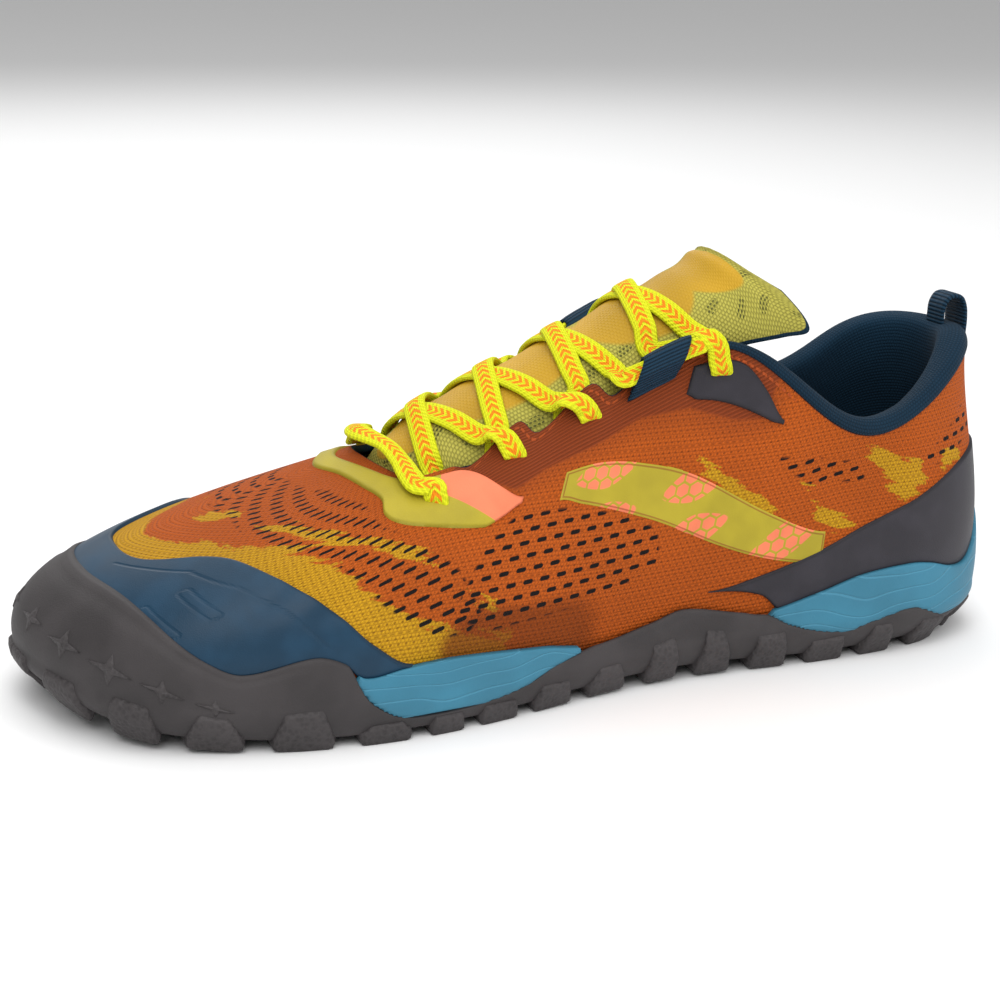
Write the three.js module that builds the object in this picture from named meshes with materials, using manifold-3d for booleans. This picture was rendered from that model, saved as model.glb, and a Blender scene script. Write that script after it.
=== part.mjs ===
// A left barefoot trail running shoe, empty and standing on its lugs, in millimetres.
// X runs from the toe (-X) to the heel (+X), the outer side faces -Y and Z is up.
import * as THREE from "three";
import { mergeVertices } from "three/addons/utils/BufferGeometryUtils.js";
import Module from "manifold-3d";

const wasm = await Module();
wasm.setup();

// Driving sizes
const LAST_LENGTH = 280; // heel to toe, along the edge where the upper meets the sole
const BALL_WIDTH = 100; // scale of all widths: the ball of the foot
const INSTEP_HEIGHT = 100; // scale of all heights of the upper
const HEEL_X = 138; // back of the heel, so that the ball and heel share the middle
const UPPER_WALL = 2.2;
const SOLE_LIP = 1.8; // how far the sole's top edge stands off the upper
const OUTSOLE_WALL = 2.3;
const OUTSOLE_LIP_WALL = 1.4;
const OUTSOLE_PLATE = 2;
const LUG_DEPTH = 3;
const LUG_STEP = 1.3; // how far a side lug stands out of the wall
const LUG_REACH = 0.34; // how far a side lug reaches in under the sole, of the half width
const INSOLE_THICKNESS = 4;
const OVERLAY = 0.7; // thickness of the welded film panels
const TOE_CAP_THICKNESS = 0.9;
const GAP = 0.3; // between any two pieces
const GRID = 0.01; // to which a finished piece is rounded
const TONGUE_THICKNESS = 4;
const TONGUE_ASIDE = 1.2; // to the outer side, as the throat lies
const LACE_WIDTH = 7.5;
const LACE_THICKNESS = 1.8;
const LACE_SLACK = 0.5; // how far a lace stands off the tongue, past the gap
const WEBBING = 1.4;
const LOOP_RISE = 6.4; // of a lace loop past the upper's top edge
const PULL_RISE = 12.5; // of the pull loop behind the heel
const EYELET_LENGTH = 5.5;
const EYELET_WIDTH = 2;

// Where the faceted sections lie, counted in the stations of the tables below.
const SECTIONS = [0, 0.4, 0.8, 1.2, 1.6, 2, 2.5, 3, 3.4, 3.8, 4.1, 4.5, 4.8, 5.2, 5.6, 6.1, 6.6, 7.1, 7.5, 7.8, 8.05, 8.3, 8.65, 9, 9.3, 9.65, 10, 10.35, 10.7, 11];

// The last, a row for each section from the heel to the toe.
// at: share of the length. outer, inner: half widths where the upper meets the sole.
// foot: height there. lean, rise: how the wall leaves the sole, outwards and upwards.
// out, drop: how it meets the top edge. edgeAt, edgeOuter, edgeInner, edge: the top edge.
const LAST = [
  { at: 0.0, outer: 0.0, inner: 0.0, foot: 0.16, lean: 0.08, rise: 0.22, out: 0.0, drop: 0.2, edgeAt: 0.011, edgeOuter: 0.0, edgeInner: 0.0, edge: 0.86 },
  { at: 0.02, outer: 0.35, inner: 0.35, foot: 0.16, lean: 0.07, rise: 0.22, out: 0.0, drop: 0.2, edgeAt: 0.03, edgeOuter: 0.32, edgeInner: 0.32, edge: 0.845 },
  { at: 0.09, outer: 0.57, inner: 0.58, foot: 0.16, lean: 0.05, rise: 0.24, out: 0.01, drop: 0.18, edgeAt: 0.093, edgeOuter: 0.55, edgeInner: 0.55, edge: 0.73 },
  { at: 0.19, outer: 0.62, inner: 0.62, foot: 0.155, lean: 0.04, rise: 0.22, out: 0.02, drop: 0.16, edgeAt: 0.179, edgeOuter: 0.64, edgeInner: 0.62, edge: 0.66 },
  { at: 0.3, outer: 0.62, inner: 0.58, foot: 0.135, lean: 0.04, rise: 0.26, out: 0.05, drop: 0.24, edgeAt: 0.261, edgeOuter: 0.64, edgeInner: 0.6, edge: 0.8 },
  { at: 0.405, outer: 0.65, inner: 0.54, foot: 0.13, lean: 0.05, rise: 0.28, out: 0.09, drop: 0.28, edgeAt: 0.339, edgeOuter: 0.54, edgeInner: 0.52, edge: 0.93 },
  { at: 0.52, outer: 0.78, inner: 0.56, foot: 0.13, lean: 0.06, rise: 0.26, out: 0.1, drop: 0.2, edgeAt: 0.439, edgeOuter: 0.5, edgeInner: 0.46, edge: 0.84 },
  { at: 0.63, outer: 0.91, inner: 0.72, foot: 0.135, lean: 0.07, rise: 0.26, out: 0.12, drop: 0.13, edgeAt: 0.55, edgeOuter: 0.49, edgeInner: 0.44, edge: 0.71 },
  { at: 0.735, outer: 0.95, inner: 0.87, foot: 0.14, lean: 0.07, rise: 0.24, out: 0.18, drop: 0.1, edgeAt: 0.632, edgeOuter: 0.42, edgeInner: 0.38, edge: 0.62 },
  { at: 0.845, outer: 0.86, inner: 0.89, foot: 0.14, lean: 0.06, rise: 0.24, out: 0.36, drop: 0.14, edgeAt: 0.666, edgeOuter: 0.27, edgeInner: 0.25, edge: 0.625 },
  { at: 0.945, outer: 0.54, inner: 0.72, foot: 0.15, lean: 0.05, rise: 0.22, out: 0.44, drop: 0.16, edgeAt: 0.678, edgeOuter: 0.12, edgeInner: 0.12, edge: 0.64 },
  { at: 1.0, outer: -0.22, inner: 0.22, foot: 0.16, lean: 0.04, rise: 0.2, out: 0.5, drop: 0.18, edgeAt: 0.682, edgeOuter: 0.0, edgeInner: 0.0, edge: 0.645 },
];

// The sole's side, a row for each section of the last. spread: the ground edge out from the
// upper's foot. ground: its height. swell: the fullest part out from the upper's foot.
const SOLE = [
  { spread: -3.0, ground: 4.5, swell: 4.6 },
  { spread: -2.5, ground: 3.0, swell: 4.6 },
  { spread: -2.0, ground: -0.3, swell: 4.6 },
  { spread: 0.0, ground: -0.6, swell: 4.2 },
  { spread: 1.0, ground: 0.7, swell: 3.4 },
  { spread: 1.2, ground: 1.1, swell: 3.4 },
  { spread: 1.5, ground: 0.4, swell: 3.6 },
  { spread: 2.5, ground: -0.5, swell: 4.2 },
  { spread: 3.0, ground: -0.5, swell: 4.4 },
  { spread: 2.5, ground: 0.8, swell: 4.6 },
  { spread: 0.5, ground: 2.8, swell: 4.6 },
  { spread: -3.0, ground: 5.0, swell: 3.6 },
];

// Edges drawn on the upper and the sole, by station from the heel (0) to the toe (11).
const SOLE_TOP = [[0, 0.33], [0.45, 0.29], [0.91, 0.18], [1.25, 0.11], [1.62, 0.11], [2, 0.15], [2.3, 0.17], [2.85, 0.16], [3.3, 0.1], [3.85, 0.045], [4.1, 0.062], [4.75, 0.1], [5.1, 0.07], [5.7, 0.035], [6.2, 0.065], [7.15, 0.09], [7.6, 0.078], [7.95, 0.06], [8.13, 0.125], [8.4, 0.16], [8.95, 0.105], [9.24, 0.15], [9.83, 0.3], [10.25, 0.37], [10.76, 0.4], [11, 0.405]];
const OUTSOLE_TOP = [[0, 0.3], [1.1, 0.3], [1.8, 0.33], [2.25, 0.48], [2.8, 0.38], [3, 0.32], [3.35, 0.46], [3.62, 0.69], [3.88, 1], [5.65, 1], [5.92, 0.84], [6.45, 0.4], [6.95, 0.22], [7.45, 0.2], [7.68, 0.3], [7.87, 0.58], [8.1, 1], [11, 1]];
const TOE_CAP_TOP = [[7.5, 0.085], [7.9, 0.183], [8.27, 0.325], [8.69, 0.45], [9.15, 0.533], [9.62, 0.575], [9.98, 0.567], [10.46, 0.508], [11, 0.51]];
const COUNTER_TOP = [[0, 0.59], [1.26, 0.583], [1.81, 0.558], [2.34, 0.508], [2.85, 0.442], [3.37, 0.308], [3.9, 0.208], [4.5, 0.15]];
const COUNTER_FOOT = [[3.55, 0], [3.9, 0.115], [4.5, 0.145]];
const WING_TOP = [[6.72, 0.67], [6.85, 0.7], [7.35, 0.905], [7.62, 0.965], [8.6, 0.98], [11, 0.97]];
const WING_FOOT = [[6.72, 0.64], [6.9, 0.605], [7.08, 0.585], [8.05, 0.73], [8.3, 0.79], [8.5, 0.87], [8.9, 0.91], [9.82, 0.93], [11, 0.925]];
const PATCH_TOP = [[4.05, 0.88], [4.33, 0.935], [4.61, 0.972], [4.83, 0.972], [5.25, 0.95]];
const PATCH_FOOT = [[4.05, 0.86], [4.2, 0.845], [5.1, 0.83], [5.25, 0.85]];

const PANEL_STRIPS = 5;
const SOLE_CLEARANCE = 0.008; // between the sole's top edge and a panel, up the wall
const FOAM_START = 0.24; // where up the sole's side the foam's own side starts
const SIDE_HEIGHT = 15; // of the sole's side, to turn a clearance into a share of it
const INSOLE_CUP = 0.07; // how far up the wall the insole's edge reaches
const SIDE_BEND = 0.55; // how far down the sole's side bends most
const SIDE_BULGE = 2.5; // how far it stands out there
const FILM_LIFT = 0.6; // of a film over the upper's own facets
const LUG_ROOT = 0.7; // how far a lug is sunk in the plate

const clamp = THREE.MathUtils.clamp;
const mix = THREE.MathUtils.lerp;
const smooth = THREE.MathUtils.smoothstep;

const STATIONS = 2 * LAST.length - 2;
const TOE = LAST.length - 1;

// A closed smooth curve through rows of equal keys, one row for each station.
function closedCurve(rows) {
  const keys = Object.keys(rows[0]);
  const n = rows.length;
  const slopes = rows.map(() => Object.fromEntries(keys.map((k) => [k, 0])));
  for (let pass = 0; pass < 40; pass++)
    for (let i = 0; i < n; i++)
      for (const k of keys) {
        const before = (i + n - 1) % n;
        const after = (i + 1) % n;
        slopes[i][k] = (3 * (rows[after][k] - rows[before][k]) - slopes[before][k] - slopes[after][k]) / 4;
      }
  return (u) => {
    const w = ((u % n) + n) % n;
    const i = Math.floor(w) % n;
    const j = (i + 1) % n;
    const f = w - Math.floor(w);
    const a = 2 * f ** 3 - 3 * f ** 2 + 1;
    const b = f ** 3 - 2 * f ** 2 + f;
    const c = f ** 3 - f ** 2;
    return Object.fromEntries(keys.map((k) => [k, a * rows[i][k] + b * slopes[i][k] + (1 - a) * rows[j][k] + c * slopes[j][k]]));
  };
}

// A smooth value along the side, the same on the outer and the inner side.
function alongSide(table) {
  return (u) => {
    const w = ((u % STATIONS) + STATIONS) % STATIONS;
    const p = clamp(Math.min(w, STATIONS - w), table[0][0], table.at(-1)[0]);
    const i = clamp(table.findIndex((row) => row[0] > p) - 1, 0, table.length - 2);
    const last = p >= table.at(-1)[0] ? table.length - 2 : i;
    const slope = (k) => {
      if (k <= 0 || k >= table.length - 1) return 0;
      return (table[k + 1][1] - table[k - 1][1]) / (table[k + 1][0] - table[k - 1][0]);
    };
    const [x0, y0] = table[last];
    const [x1, y1] = table[last + 1];
    const span = x1 - x0;
    const f = (p - x0) / span;
    const a = 2 * f ** 3 - 3 * f ** 2 + 1;
    return a * y0 + (1 - a) * y1 + span * ((f ** 3 - 2 * f ** 2 + f) * slope(last) + (f ** 3 - f ** 2) * slope(last + 1));
  };
}

// One row of the last as a station on its outer (-1) or inner (+1) side.
function station(row, side) {
  const half = BALL_WIDTH / 2;
  const isOuter = side < 0;
  return {
    footX: HEEL_X - row.at * LAST_LENGTH,
    footY: half * (isOuter ? -row.outer : row.inner),
    footZ: row.foot * INSTEP_HEIGHT,
    lean: row.lean * INSTEP_HEIGHT,
    rise: row.rise * INSTEP_HEIGHT,
    out: row.out * INSTEP_HEIGHT,
    drop: row.drop * INSTEP_HEIGHT,
    edgeX: HEEL_X - row.edgeAt * LAST_LENGTH,
    edgeY: half * (isOuter ? -row.edgeOuter : row.edgeInner),
    edgeZ: row.edge * INSTEP_HEIGHT,
  };
}

// Rows from heel to toe on the outer side, then back on the inner side.
function bothSides(rows, make) {
  const inner = rows.slice(1, -1).reverse();
  return [...rows.map((row) => make(row, -1)), ...inner.map((row) => make(row, 1))];
}

const lastAt = closedCurve(bothSides(LAST, station));
const soleRow = closedCurve(bothSides(SOLE, (row) => row));
const soleTop = alongSide(SOLE_TOP);
const outsoleRow = alongSide(OUTSOLE_TOP);
const outsoleTop = (u) => Math.min(outsoleRow(u), 1);

// The sole's values at a station, with its ground no lower than the floor.
const soleAt = (u) => {
  const s = soleRow(u);
  return { ...s, ground: Math.max(0, s.ground) };
};

const footPoint = (u) => {
  const s = lastAt(u);
  return new THREE.Vector3(s.footX, s.footY, s.footZ);
};

// The level direction out of the shoe at a station.
function outward(u) {
  const d = footPoint(u + 0.02).sub(footPoint(u - 0.02));
  return new THREE.Vector3(-d.y, d.x, 0).normalize();
}

// The upper's outer face: v runs from the sole (0) to the top edge (1) on a cubic.
function face(u, v) {
  const s = lastAt(u);
  const foot = footPoint(u);
  const edge = new THREE.Vector3(s.edgeX, s.edgeY, s.edgeZ);
  const away = foot.clone().sub(edge).setZ(0).normalize();
  const low = foot.clone().addScaledVector(outward(u), s.lean);
  low.z += s.rise;
  const high = edge.clone().addScaledVector(away, s.out);
  high.z -= s.drop;
  return new THREE.Vector3()
    .addScaledVector(foot, (1 - v) ** 3)
    .addScaledVector(low, 3 * (1 - v) ** 2 * v)
    .addScaledVector(high, 3 * (1 - v) * v ** 2)
    .addScaledVector(edge, v ** 3);
}

function normalOf(surface, a, b) {
  const e = 1e-3;
  const along = surface(a + e, b).sub(surface(a - e, b));
  const up = surface(a, b + e).sub(surface(a, b - e));
  return up.cross(along).normalize();
}

// A point of the upper, h millimetres out from its outer face.
const skin = (u, v, h) => face(u, v).addScaledVector(normalOf(face, u, v), h);

// A point past the top edge, going on in the wall's own direction.
function pastEdge(u, rise, h) {
  const up = face(u, 1).sub(face(u, 0.97)).normalize();
  return skin(u, 1, h).addScaledVector(up, rise);
}

// The sole's outer face: t runs from the ground edge (0) out to where it comes beside the
// upper, and from there up along the upper, thinning, to the top (1).
function soleFace(u, t) {
  const s = soleAt(u);
  const bite = soleTop(u);
  const low = footPoint(u).addScaledVector(outward(u), s.spread).setZ(s.ground + LUG_DEPTH);
  const beside = skin(u, 0, s.swell);
  const height = beside.z - low.z;
  const turn = height / (height + Math.max(face(u, bite).z - face(u, 0).z, 0));
  if (t > turn) {
    const share = (t - turn) / (1 - turn);
    return skin(u, share * bite, mix(s.swell, SOLE_LIP, share));
  }
  const share = t / turn;
  const up = face(u, 0.02).sub(face(u, 0)).normalize();
  const bend = beside.clone().addScaledVector(up, -height * SIDE_BEND).addScaledVector(outward(u), SIDE_BULGE);
  return low
    .multiplyScalar((1 - share) ** 2)
    .addScaledVector(bend, 2 * share * (1 - share))
    .addScaledVector(beside, share ** 2);
}

const soleSkin = (u, t, h) => soleFace(u, t).addScaledVector(normalOf(soleFace, u, t), h);
const outsoleWall = (t) => mix(OUTSOLE_WALL, OUTSOLE_LIP_WALL, t);

// A ring drawn in towards the line along the middle of the sole, where both sides meet.
function towardsMiddle(ring, u, share) {
  const w = ((u % STATIONS) + STATIONS) % STATIONS;
  const p = clamp(Math.min(w, STATIONS - w), 1, TOE - 1);
  const middle = ring(p).add(ring(STATIONS - p)).multiplyScalar(0.5);
  return middle.lerp(ring(u), share);
}

const onSide = (u, side) => (side < 0 ? u : STATIONS - u);
const roundTheShoe = [...SECTIONS, ...SECTIONS.slice(1, -1).reverse().map((u) => onSide(u, 1))];
const ringOf = (point) => roundTheShoe.map(point);

// A closed solid from a grid of points, joined round the grid where it says so.
function shell(rows, { closedAcross = false, closedAlong = true } = {}) {
  const n = rows[0].length;
  const flat = rows.flat();
  const index = [];
  const quad = (a, b, c, d) => index.push(a, b, c, a, c, d);
  const lastRow = closedAcross ? rows.length : rows.length - 1;
  for (let r = 0; r < lastRow; r++)
    for (let i = 0; i < (closedAlong ? n : n - 1); i++) {
      const j = (i + 1) % n;
      const s = (r + 1) % rows.length;
      quad(r * n + i, r * n + j, s * n + j, s * n + i);
    }
  if (!closedAlong)
    for (const end of [0, n - 1])
      for (let r = 0; r < rows.length / 2 - 1; r++) {
        const corners = [r, r + 1, rows.length - 2 - r, rows.length - 1 - r].map((row) => row * n + end);
        quad(...(end ? corners.reverse() : corners));
      }
  return solidOf(flat, index);
}

// Merges like points, drops the faces that collapse and turns the faces outwards.
function solidOf(points, index) {
  const raw = new THREE.BufferGeometry().setFromPoints(points).setIndex(index);
  const merged = mergeVertices(raw, 1e-3);
  const kept = soundFaces(merged.index.array);
  const vertProperties = new Float32Array(merged.attributes.position.array);
  const made = new wasm.Manifold(new wasm.Mesh({ numProp: 3, vertProperties, triVerts: new Uint32Array(kept) }));
  if (made.volume() > 0) return made;
  const turned = kept.map((_, i) => kept[i - (i % 3) + 2 - (i % 3)]);
  return new wasm.Manifold(new wasm.Mesh({ numProp: 3, vertProperties, triVerts: new Uint32Array(turned) }));
}

// The faces of a mesh whose corners all differ, without pairs that lie back to back.
function soundFaces(index) {
  const faces = new Map();
  for (let i = 0; i < index.length; i += 3) {
    const face = [index[i], index[i + 1], index[i + 2]];
    if (new Set(face).size < 3) continue;
    const key = [...face].sort((a, b) => a - b).join(" ");
    if (faces.has(key)) faces.delete(key);
    else faces.set(key, face);
  }
  return [...faces.values()].flat();
}

// A solid's faces on a fine grid, so that no sliver a cut leaves is narrower than it.
function geometryOf(solid) {
  const { vertProperties, numProp, triVerts } = solid.getMesh();
  const points = [];
  for (let i = 0; i < vertProperties.length; i += numProp) {
    const point = new THREE.Vector3(...vertProperties.subarray(i, i + 3));
    points.push(point.divideScalar(GRID).round().multiplyScalar(GRID));
  }
  const merged = mergeVertices(new THREE.BufferGeometry().setFromPoints(points).setIndex([...triVerts]), GRID / 10);
  merged.setIndex(soundFaces(merged.index.array));
  merged.computeVertexNormals();
  return merged;
}

// Triangles that fill a ring of corners from its first one.
const fan = (count) => Array.from({ length: count - 2 }, (_, i) => [0, i + 1, i + 2]);

// A closed prism between two like rings of corners, with the triangles of each end.
function prism(near, far, ends = fan(near.length)) {
  const n = near.length;
  const index = ends.flatMap(([a, b, c]) => [a, b, c, n + a, n + c, n + b]);
  for (let i = 0; i < n; i++) {
    const j = (i + 1) % n;
    index.push(i, n + i, n + j, i, n + j, j);
  }
  return solidOf([...near, ...far], index);
}

// The largest body of a cut solid, without the specks that a grazing cut leaves.
const largest = (solid) => solid.decompose().sort((a, b) => b.volume() - a.volume())[0];

const shares = (count) => Array.from({ length: count + 1 }, (_, i) => i / count);

// The sections between two stations, both included.
function stationsFrom(from, to) {
  return [from, ...roundTheShoe.filter((u) => u > from + 0.05 && u < to - 0.05), to];
}

const WALL_LINES = [0, 0.06, 0.14, 0.24, 0.36, 0.5, 0.65, 0.8, 0.93, 1];

function upper() {
  const outside = WALL_LINES.map((v) => ringOf((u) => skin(u, v, 0)));
  const inside = [...WALL_LINES].reverse().map((v) => ringOf((u) => skin(u, v, -UPPER_WALL)));
  let wall = shell([...outside, ...inside], { closedAcross: true });
  for (const slot of eyeletSlots()) wall = wall.subtract(slot);
  return wall;
}

// Eyelets, a row for each from the throat's front: station, height up the wall and turn.
const EYELETS = [
  { u: 7.88, v: 0.92, turn: 35 },
  { u: 7.0, v: 0.92, turn: 20 },
  { u: 6.3, v: 0.92, turn: 20 },
  { u: 4.92, v: 0.912, turn: 20 },
  { u: 4.52, v: 0.86, turn: 30 },
];

function eyeletSlots() {
  return [-1, 1].flatMap((side) =>
    EYELETS.map(({ u, v, turn }) => {
      const at = onSide(u, side);
      const centre = skin(at, v, 0);
      const normal = normalOf(face, at, v);
      const level = face(at + 0.05, v).sub(face(at - 0.05, v)).normalize();
      const along = level.applyAxisAngle(normal, THREE.MathUtils.degToRad(side * turn));
      const across = new THREE.Vector3().crossVectors(normal, along);
      const corner = (a, b, h) =>
        centre
          .clone()
          .addScaledVector(along, (a * EYELET_LENGTH) / 2)
          .addScaledVector(across, (b * EYELET_WIDTH) / 2)
          .addScaledVector(normal, h);
      const end = (h) => [corner(-1, -1, h), corner(1, -1, h), corner(1, 1, h), corner(-1, 1, h)];
      return prism(end(-2 * UPPER_WALL), end(2 * UPPER_WALL));
    }),
  );
}

// A film welded on the upper between two drawn edges, over part of the way round.
function panel(us, foot, top, thickness) {
  const line = (h) => shares(PANEL_STRIPS).map((share) => us.map((u) => skin(u, mix(foot(u), top(u), share), h)));
  const under = line(FILM_LIFT);
  const over = line(FILM_LIFT + thickness).reverse();
  return shell([...under, ...over], { closedAcross: true, closedAlong: false });
}

// A drawn edge no lower than just above the sole's own top edge.
const aboveSole = (edge) => (u) => Math.max(edge(u), soleTop(u) + SOLE_CLEARANCE);

function toeCap() {
  const from = TOE_CAP_TOP[0][0];
  return panel(stationsFrom(from, STATIONS - from), aboveSole(() => 0), alongSide(TOE_CAP_TOP), TOE_CAP_THICKNESS);
}

function heelCounter() {
  const end = COUNTER_TOP.at(-1)[0];
  const us = stationsFrom(STATIONS - end, STATIONS).slice(0, -1).concat(stationsFrom(0, end));
  return panel(us, aboveSole(alongSide(COUNTER_FOOT)), alongSide(COUNTER_TOP), OVERLAY);
}

function vampOverlay() {
  const from = WING_TOP[0][0];
  let film = panel(stationsFrom(from, STATIONS - from), alongSide(WING_FOOT), alongSide(WING_TOP), OVERLAY);
  for (const slot of eyeletSlots()) film = film.subtract(slot);
  return film;
}

function eyeletPatch(side) {
  const [from, to] = [PATCH_TOP[0][0], PATCH_TOP.at(-1)[0]];
  const us = side < 0 ? stationsFrom(from, to) : stationsFrom(STATIONS - to, STATIONS - from);
  let film = panel(us, alongSide(PATCH_FOOT), alongSide(PATCH_TOP), OVERLAY);
  for (const slot of eyeletSlots()) film = film.subtract(slot);
  return film;
}

// The point of a rising line that lies at a height.
function atHeight(line, z) {
  let low = -0.2;
  let high = 1;
  for (let pass = 0; pass < 30; pass++) {
    const t = (low + high) / 2;
    if (line(t).z < z) low = t;
    else high = t;
  }
  return line(low).setZ(z);
}

// The outsole's tray. grow swells it by a clearance on every side, to cut what lies in it.
function tray(grow) {
  const wall = (t) => outsoleWall(t) + grow;
  const edge = (u) => soleFace(u, 0).setZ(soleFace(u, 0).z - grow);
  const top = (u) => outsoleTop(u) + grow / SIDE_HEIGHT;
  const outer = (share) => ringOf((u) => soleSkin(u, share * top(u), grow));
  const inner = (share) => ringOf((u) => soleSkin(u, share * top(u), -wall(share * top(u))));
  const floor = (u) => atHeight((t) => soleSkin(u, t, -wall(t)), edge(u).z + OUTSOLE_PLATE + 2 * grow);
  return shell([
    ...[0, 0.5, 1].map((share) => ringOf((u) => towardsMiddle(edge, u, share))),
    ...[0.25, 0.5, 0.75, 1].map(outer),
    ...[1, 0.75, 0.5, 0.3].map(inner),
    ...[1, 0.5, 0].map((share) => ringOf((u) => towardsMiddle(floor, u, share))),
  ]);
}

function outsole() {
  let body = tray(0);
  for (const lug of [...sideLugs(), ...treadLugs()]) body = body.add(lug);
  return largest(body);
}

// Lugs round the edge, by station: where each starts and ends, how high it climbs the
// side, and how far its top is drawn in at each end.
const SIDE_LUGS = [
  { from: 0.0, to: 0.6, top: 0.26, draw: 0.05 },
  { from: 0.85, to: 1.4, top: 0.26, draw: 0.1 },
  { from: 1.65, to: 2.15, top: 0.3, draw: 0.06 },
  { from: 2.4, to: 2.8, top: 0.34, draw: 0.1 },
  { from: 2.98, to: 3.4, top: 0.28, draw: 0.04 },
  { from: 3.6, to: 4.0, top: 0.6, draw: 0.06 },
  { from: 4.2, to: 4.6, top: 0.66, draw: 0.1 },
  { from: 4.8, to: 5.15, top: 0.6, draw: 0.05 },
  { from: 5.35, to: 5.75, top: 0.5, draw: 0.1 },
  { from: 5.9, to: 6.3, top: 0.36, draw: 0.06 },
  { from: 6.45, to: 6.85, top: 0.2, draw: 0.04 },
  { from: 7.0, to: 7.35, top: 0.17, draw: 0.04 },
  { from: 7.52, to: 8.0, top: 0.2, draw: 0.1 },
  { from: 8.2, to: 8.72, top: 0.42, draw: 0.1 },
  { from: 8.92, to: 9.4, top: 0.4, draw: 0.12 },
  { from: 9.58, to: 9.98, top: 0.34, draw: 0.06 },
  { from: 10.16, to: 10.56, top: 0.3, draw: 0.06 },
  { from: 10.74, to: 11.0, top: 0.28, draw: 0.0 },
];

// How the L of a side lug's end is filled, from its inner corner, up its side and under.
const LUG_END = [[0, 6, 7], [0, 5, 6], [0, 1, 5], [1, 4, 5], [1, 3, 4], [1, 2, 3]];

function sideLugs() {
  const edge = (u) => soleFace(u, 0);
  const root = LUG_DEPTH + LUG_ROOT;
  const section = (u, topU, top) => {
    const out = outward(u);
    const ground = soleAt(u).ground;
    const at = (reach, z) => edge(u).addScaledVector(out, reach).setZ(ground + z);
    const under = (z) => towardsMiddle(edge, u, 1 - LUG_REACH).add(new THREE.Vector3(0, 0, z - LUG_DEPTH));
    return [
      at(-OUTSOLE_WALL / 2, root),
      soleSkin(u, top / 2, -OUTSOLE_WALL / 2),
      soleSkin(topU, top, -OUTSOLE_WALL / 2),
      soleSkin(topU, top - 0.06, LUG_STEP * 0.6),
      soleSkin(u, top / 2, LUG_STEP),
      at(LUG_STEP * 0.7, 0),
      under(0),
      under(root),
    ];
  };
  return [-1, 1].flatMap((side) =>
    SIDE_LUGS.map(({ from, to, top, draw }) =>
      prism(section(onSide(from, side), onSide(from + draw, side), top), section(onSide(to, side), onSide(to - draw, side), top), LUG_END),
    ),
  );
}

// Chevron lugs under the sole, in rows by station and columns by share of the half width.
const TREAD = { rows: 8, from: 1.9, to: 8.9, columns: [-0.38, 0, 0.38], stagger: 0.5, arm: 0.14 };

function treadLugs() {
  const edge = (u) => soleFace(u, 0);
  const pitch = (TREAD.to - TREAD.from) / (TREAD.rows - 1);
  const place = (p, across, z) => {
    const point = towardsMiddle(edge, onSide(p, across < 0 ? -1 : 1), Math.abs(across));
    return point.add(new THREE.Vector3(0, 0, z - LUG_DEPTH));
  };
  const chevron = (p, centre, z) =>
    [
      [0.3, 0],
      [0.48, -1],
      [0.14, -1],
      [-0.14, 0],
      [0.14, 1],
      [0.48, 1],
    ].map(([step, arm]) => place(p + step * pitch, centre + arm * TREAD.arm, z));
  return shares(TREAD.rows - 1).flatMap((share) =>
    TREAD.columns.map((centre) => {
      const p = mix(TREAD.from, TREAD.to, share) + (centre === 0 ? TREAD.stagger * pitch : 0);
      return prism(chevron(p, centre, 0), chevron(p, centre, LUG_DEPTH + LUG_ROOT));
    }),
  );
}

// Foam between outsole and upper. It shows where the outsole's top edge dips.
function midsole() {
  const shows = (u) => smooth(1 - outsoleTop(u), 0.02, 0.1);
  const floorZ = (u) => soleFace(u, 0).z + OUTSOLE_PLATE + GAP;
  const bedZ = (u) => footPoint(u).z - GAP;
  const bedShare = (u) => {
    const low = soleFace(u, 0).z;
    return clamp((bedZ(u) - low) / (soleFace(u, 1).z - low), 0, 1);
  };
  const high = (u) => mix(bedShare(u), 1, shows(u));
  const outer = (share) => ringOf((u) => soleSkin(u, mix(FOAM_START, high(u), share), -GAP));
  const bottom = (u) => atHeight((t) => soleSkin(u, t, -GAP), floorZ(u));
  const inner = (share) => ringOf((u) => skin(u, share * soleTop(u) * shows(u), GAP));
  const bed = (u) => skin(u, 0, GAP).setZ(bedZ(u));
  const foam = shell([
    ...[0, 0.5, 1].map((share) => ringOf((u) => towardsMiddle(bottom, u, share))),
    ...[0, 0.3, 0.6, 1].map(outer),
    ...[1, 0.7, 0.35, 0].map(inner),
    ...[1, 0.5, 0].map((share) => ringOf((u) => towardsMiddle(bed, u, share))),
  ]);
  return largest(foam.subtract(tray(GAP)));
}

function insole() {
  const edge = (v) => (u) => skin(u, v, -UPPER_WALL - 2 * GAP);
  const under = (u) => edge(0)(u).setZ(footPoint(u).z);
  const over = edge(INSOLE_CUP);
  const inside = (u) => edge(INSOLE_CUP)(u).setZ(footPoint(u).z + INSOLE_THICKNESS);
  return shell([
    ...[0, 0.5, 1].map((share) => ringOf((u) => towardsMiddle(under, u, share))),
    ringOf(over),
    ...[0.93, 0.5, 0].map((share) => ringOf((u) => towardsMiddle(inside, u, share))),
  ]);
}

// The padded collar's section over the opening's edge. depth: in from the upper's face.
// rise: above its edge. pad: share of the padding's own thickness that is added.
const COLLAR_ROLL = [
  { depth: -0.1, rise: 0.4, pad: 0 },
  { depth: -0.4, rise: 2.6, pad: 0 },
  { depth: 1.4, rise: 4.8, pad: 0.1 },
  { depth: 3.6, rise: 4.2, pad: 0.7 },
  { depth: 4.4, rise: 1.5, pad: 1 },
];
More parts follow.
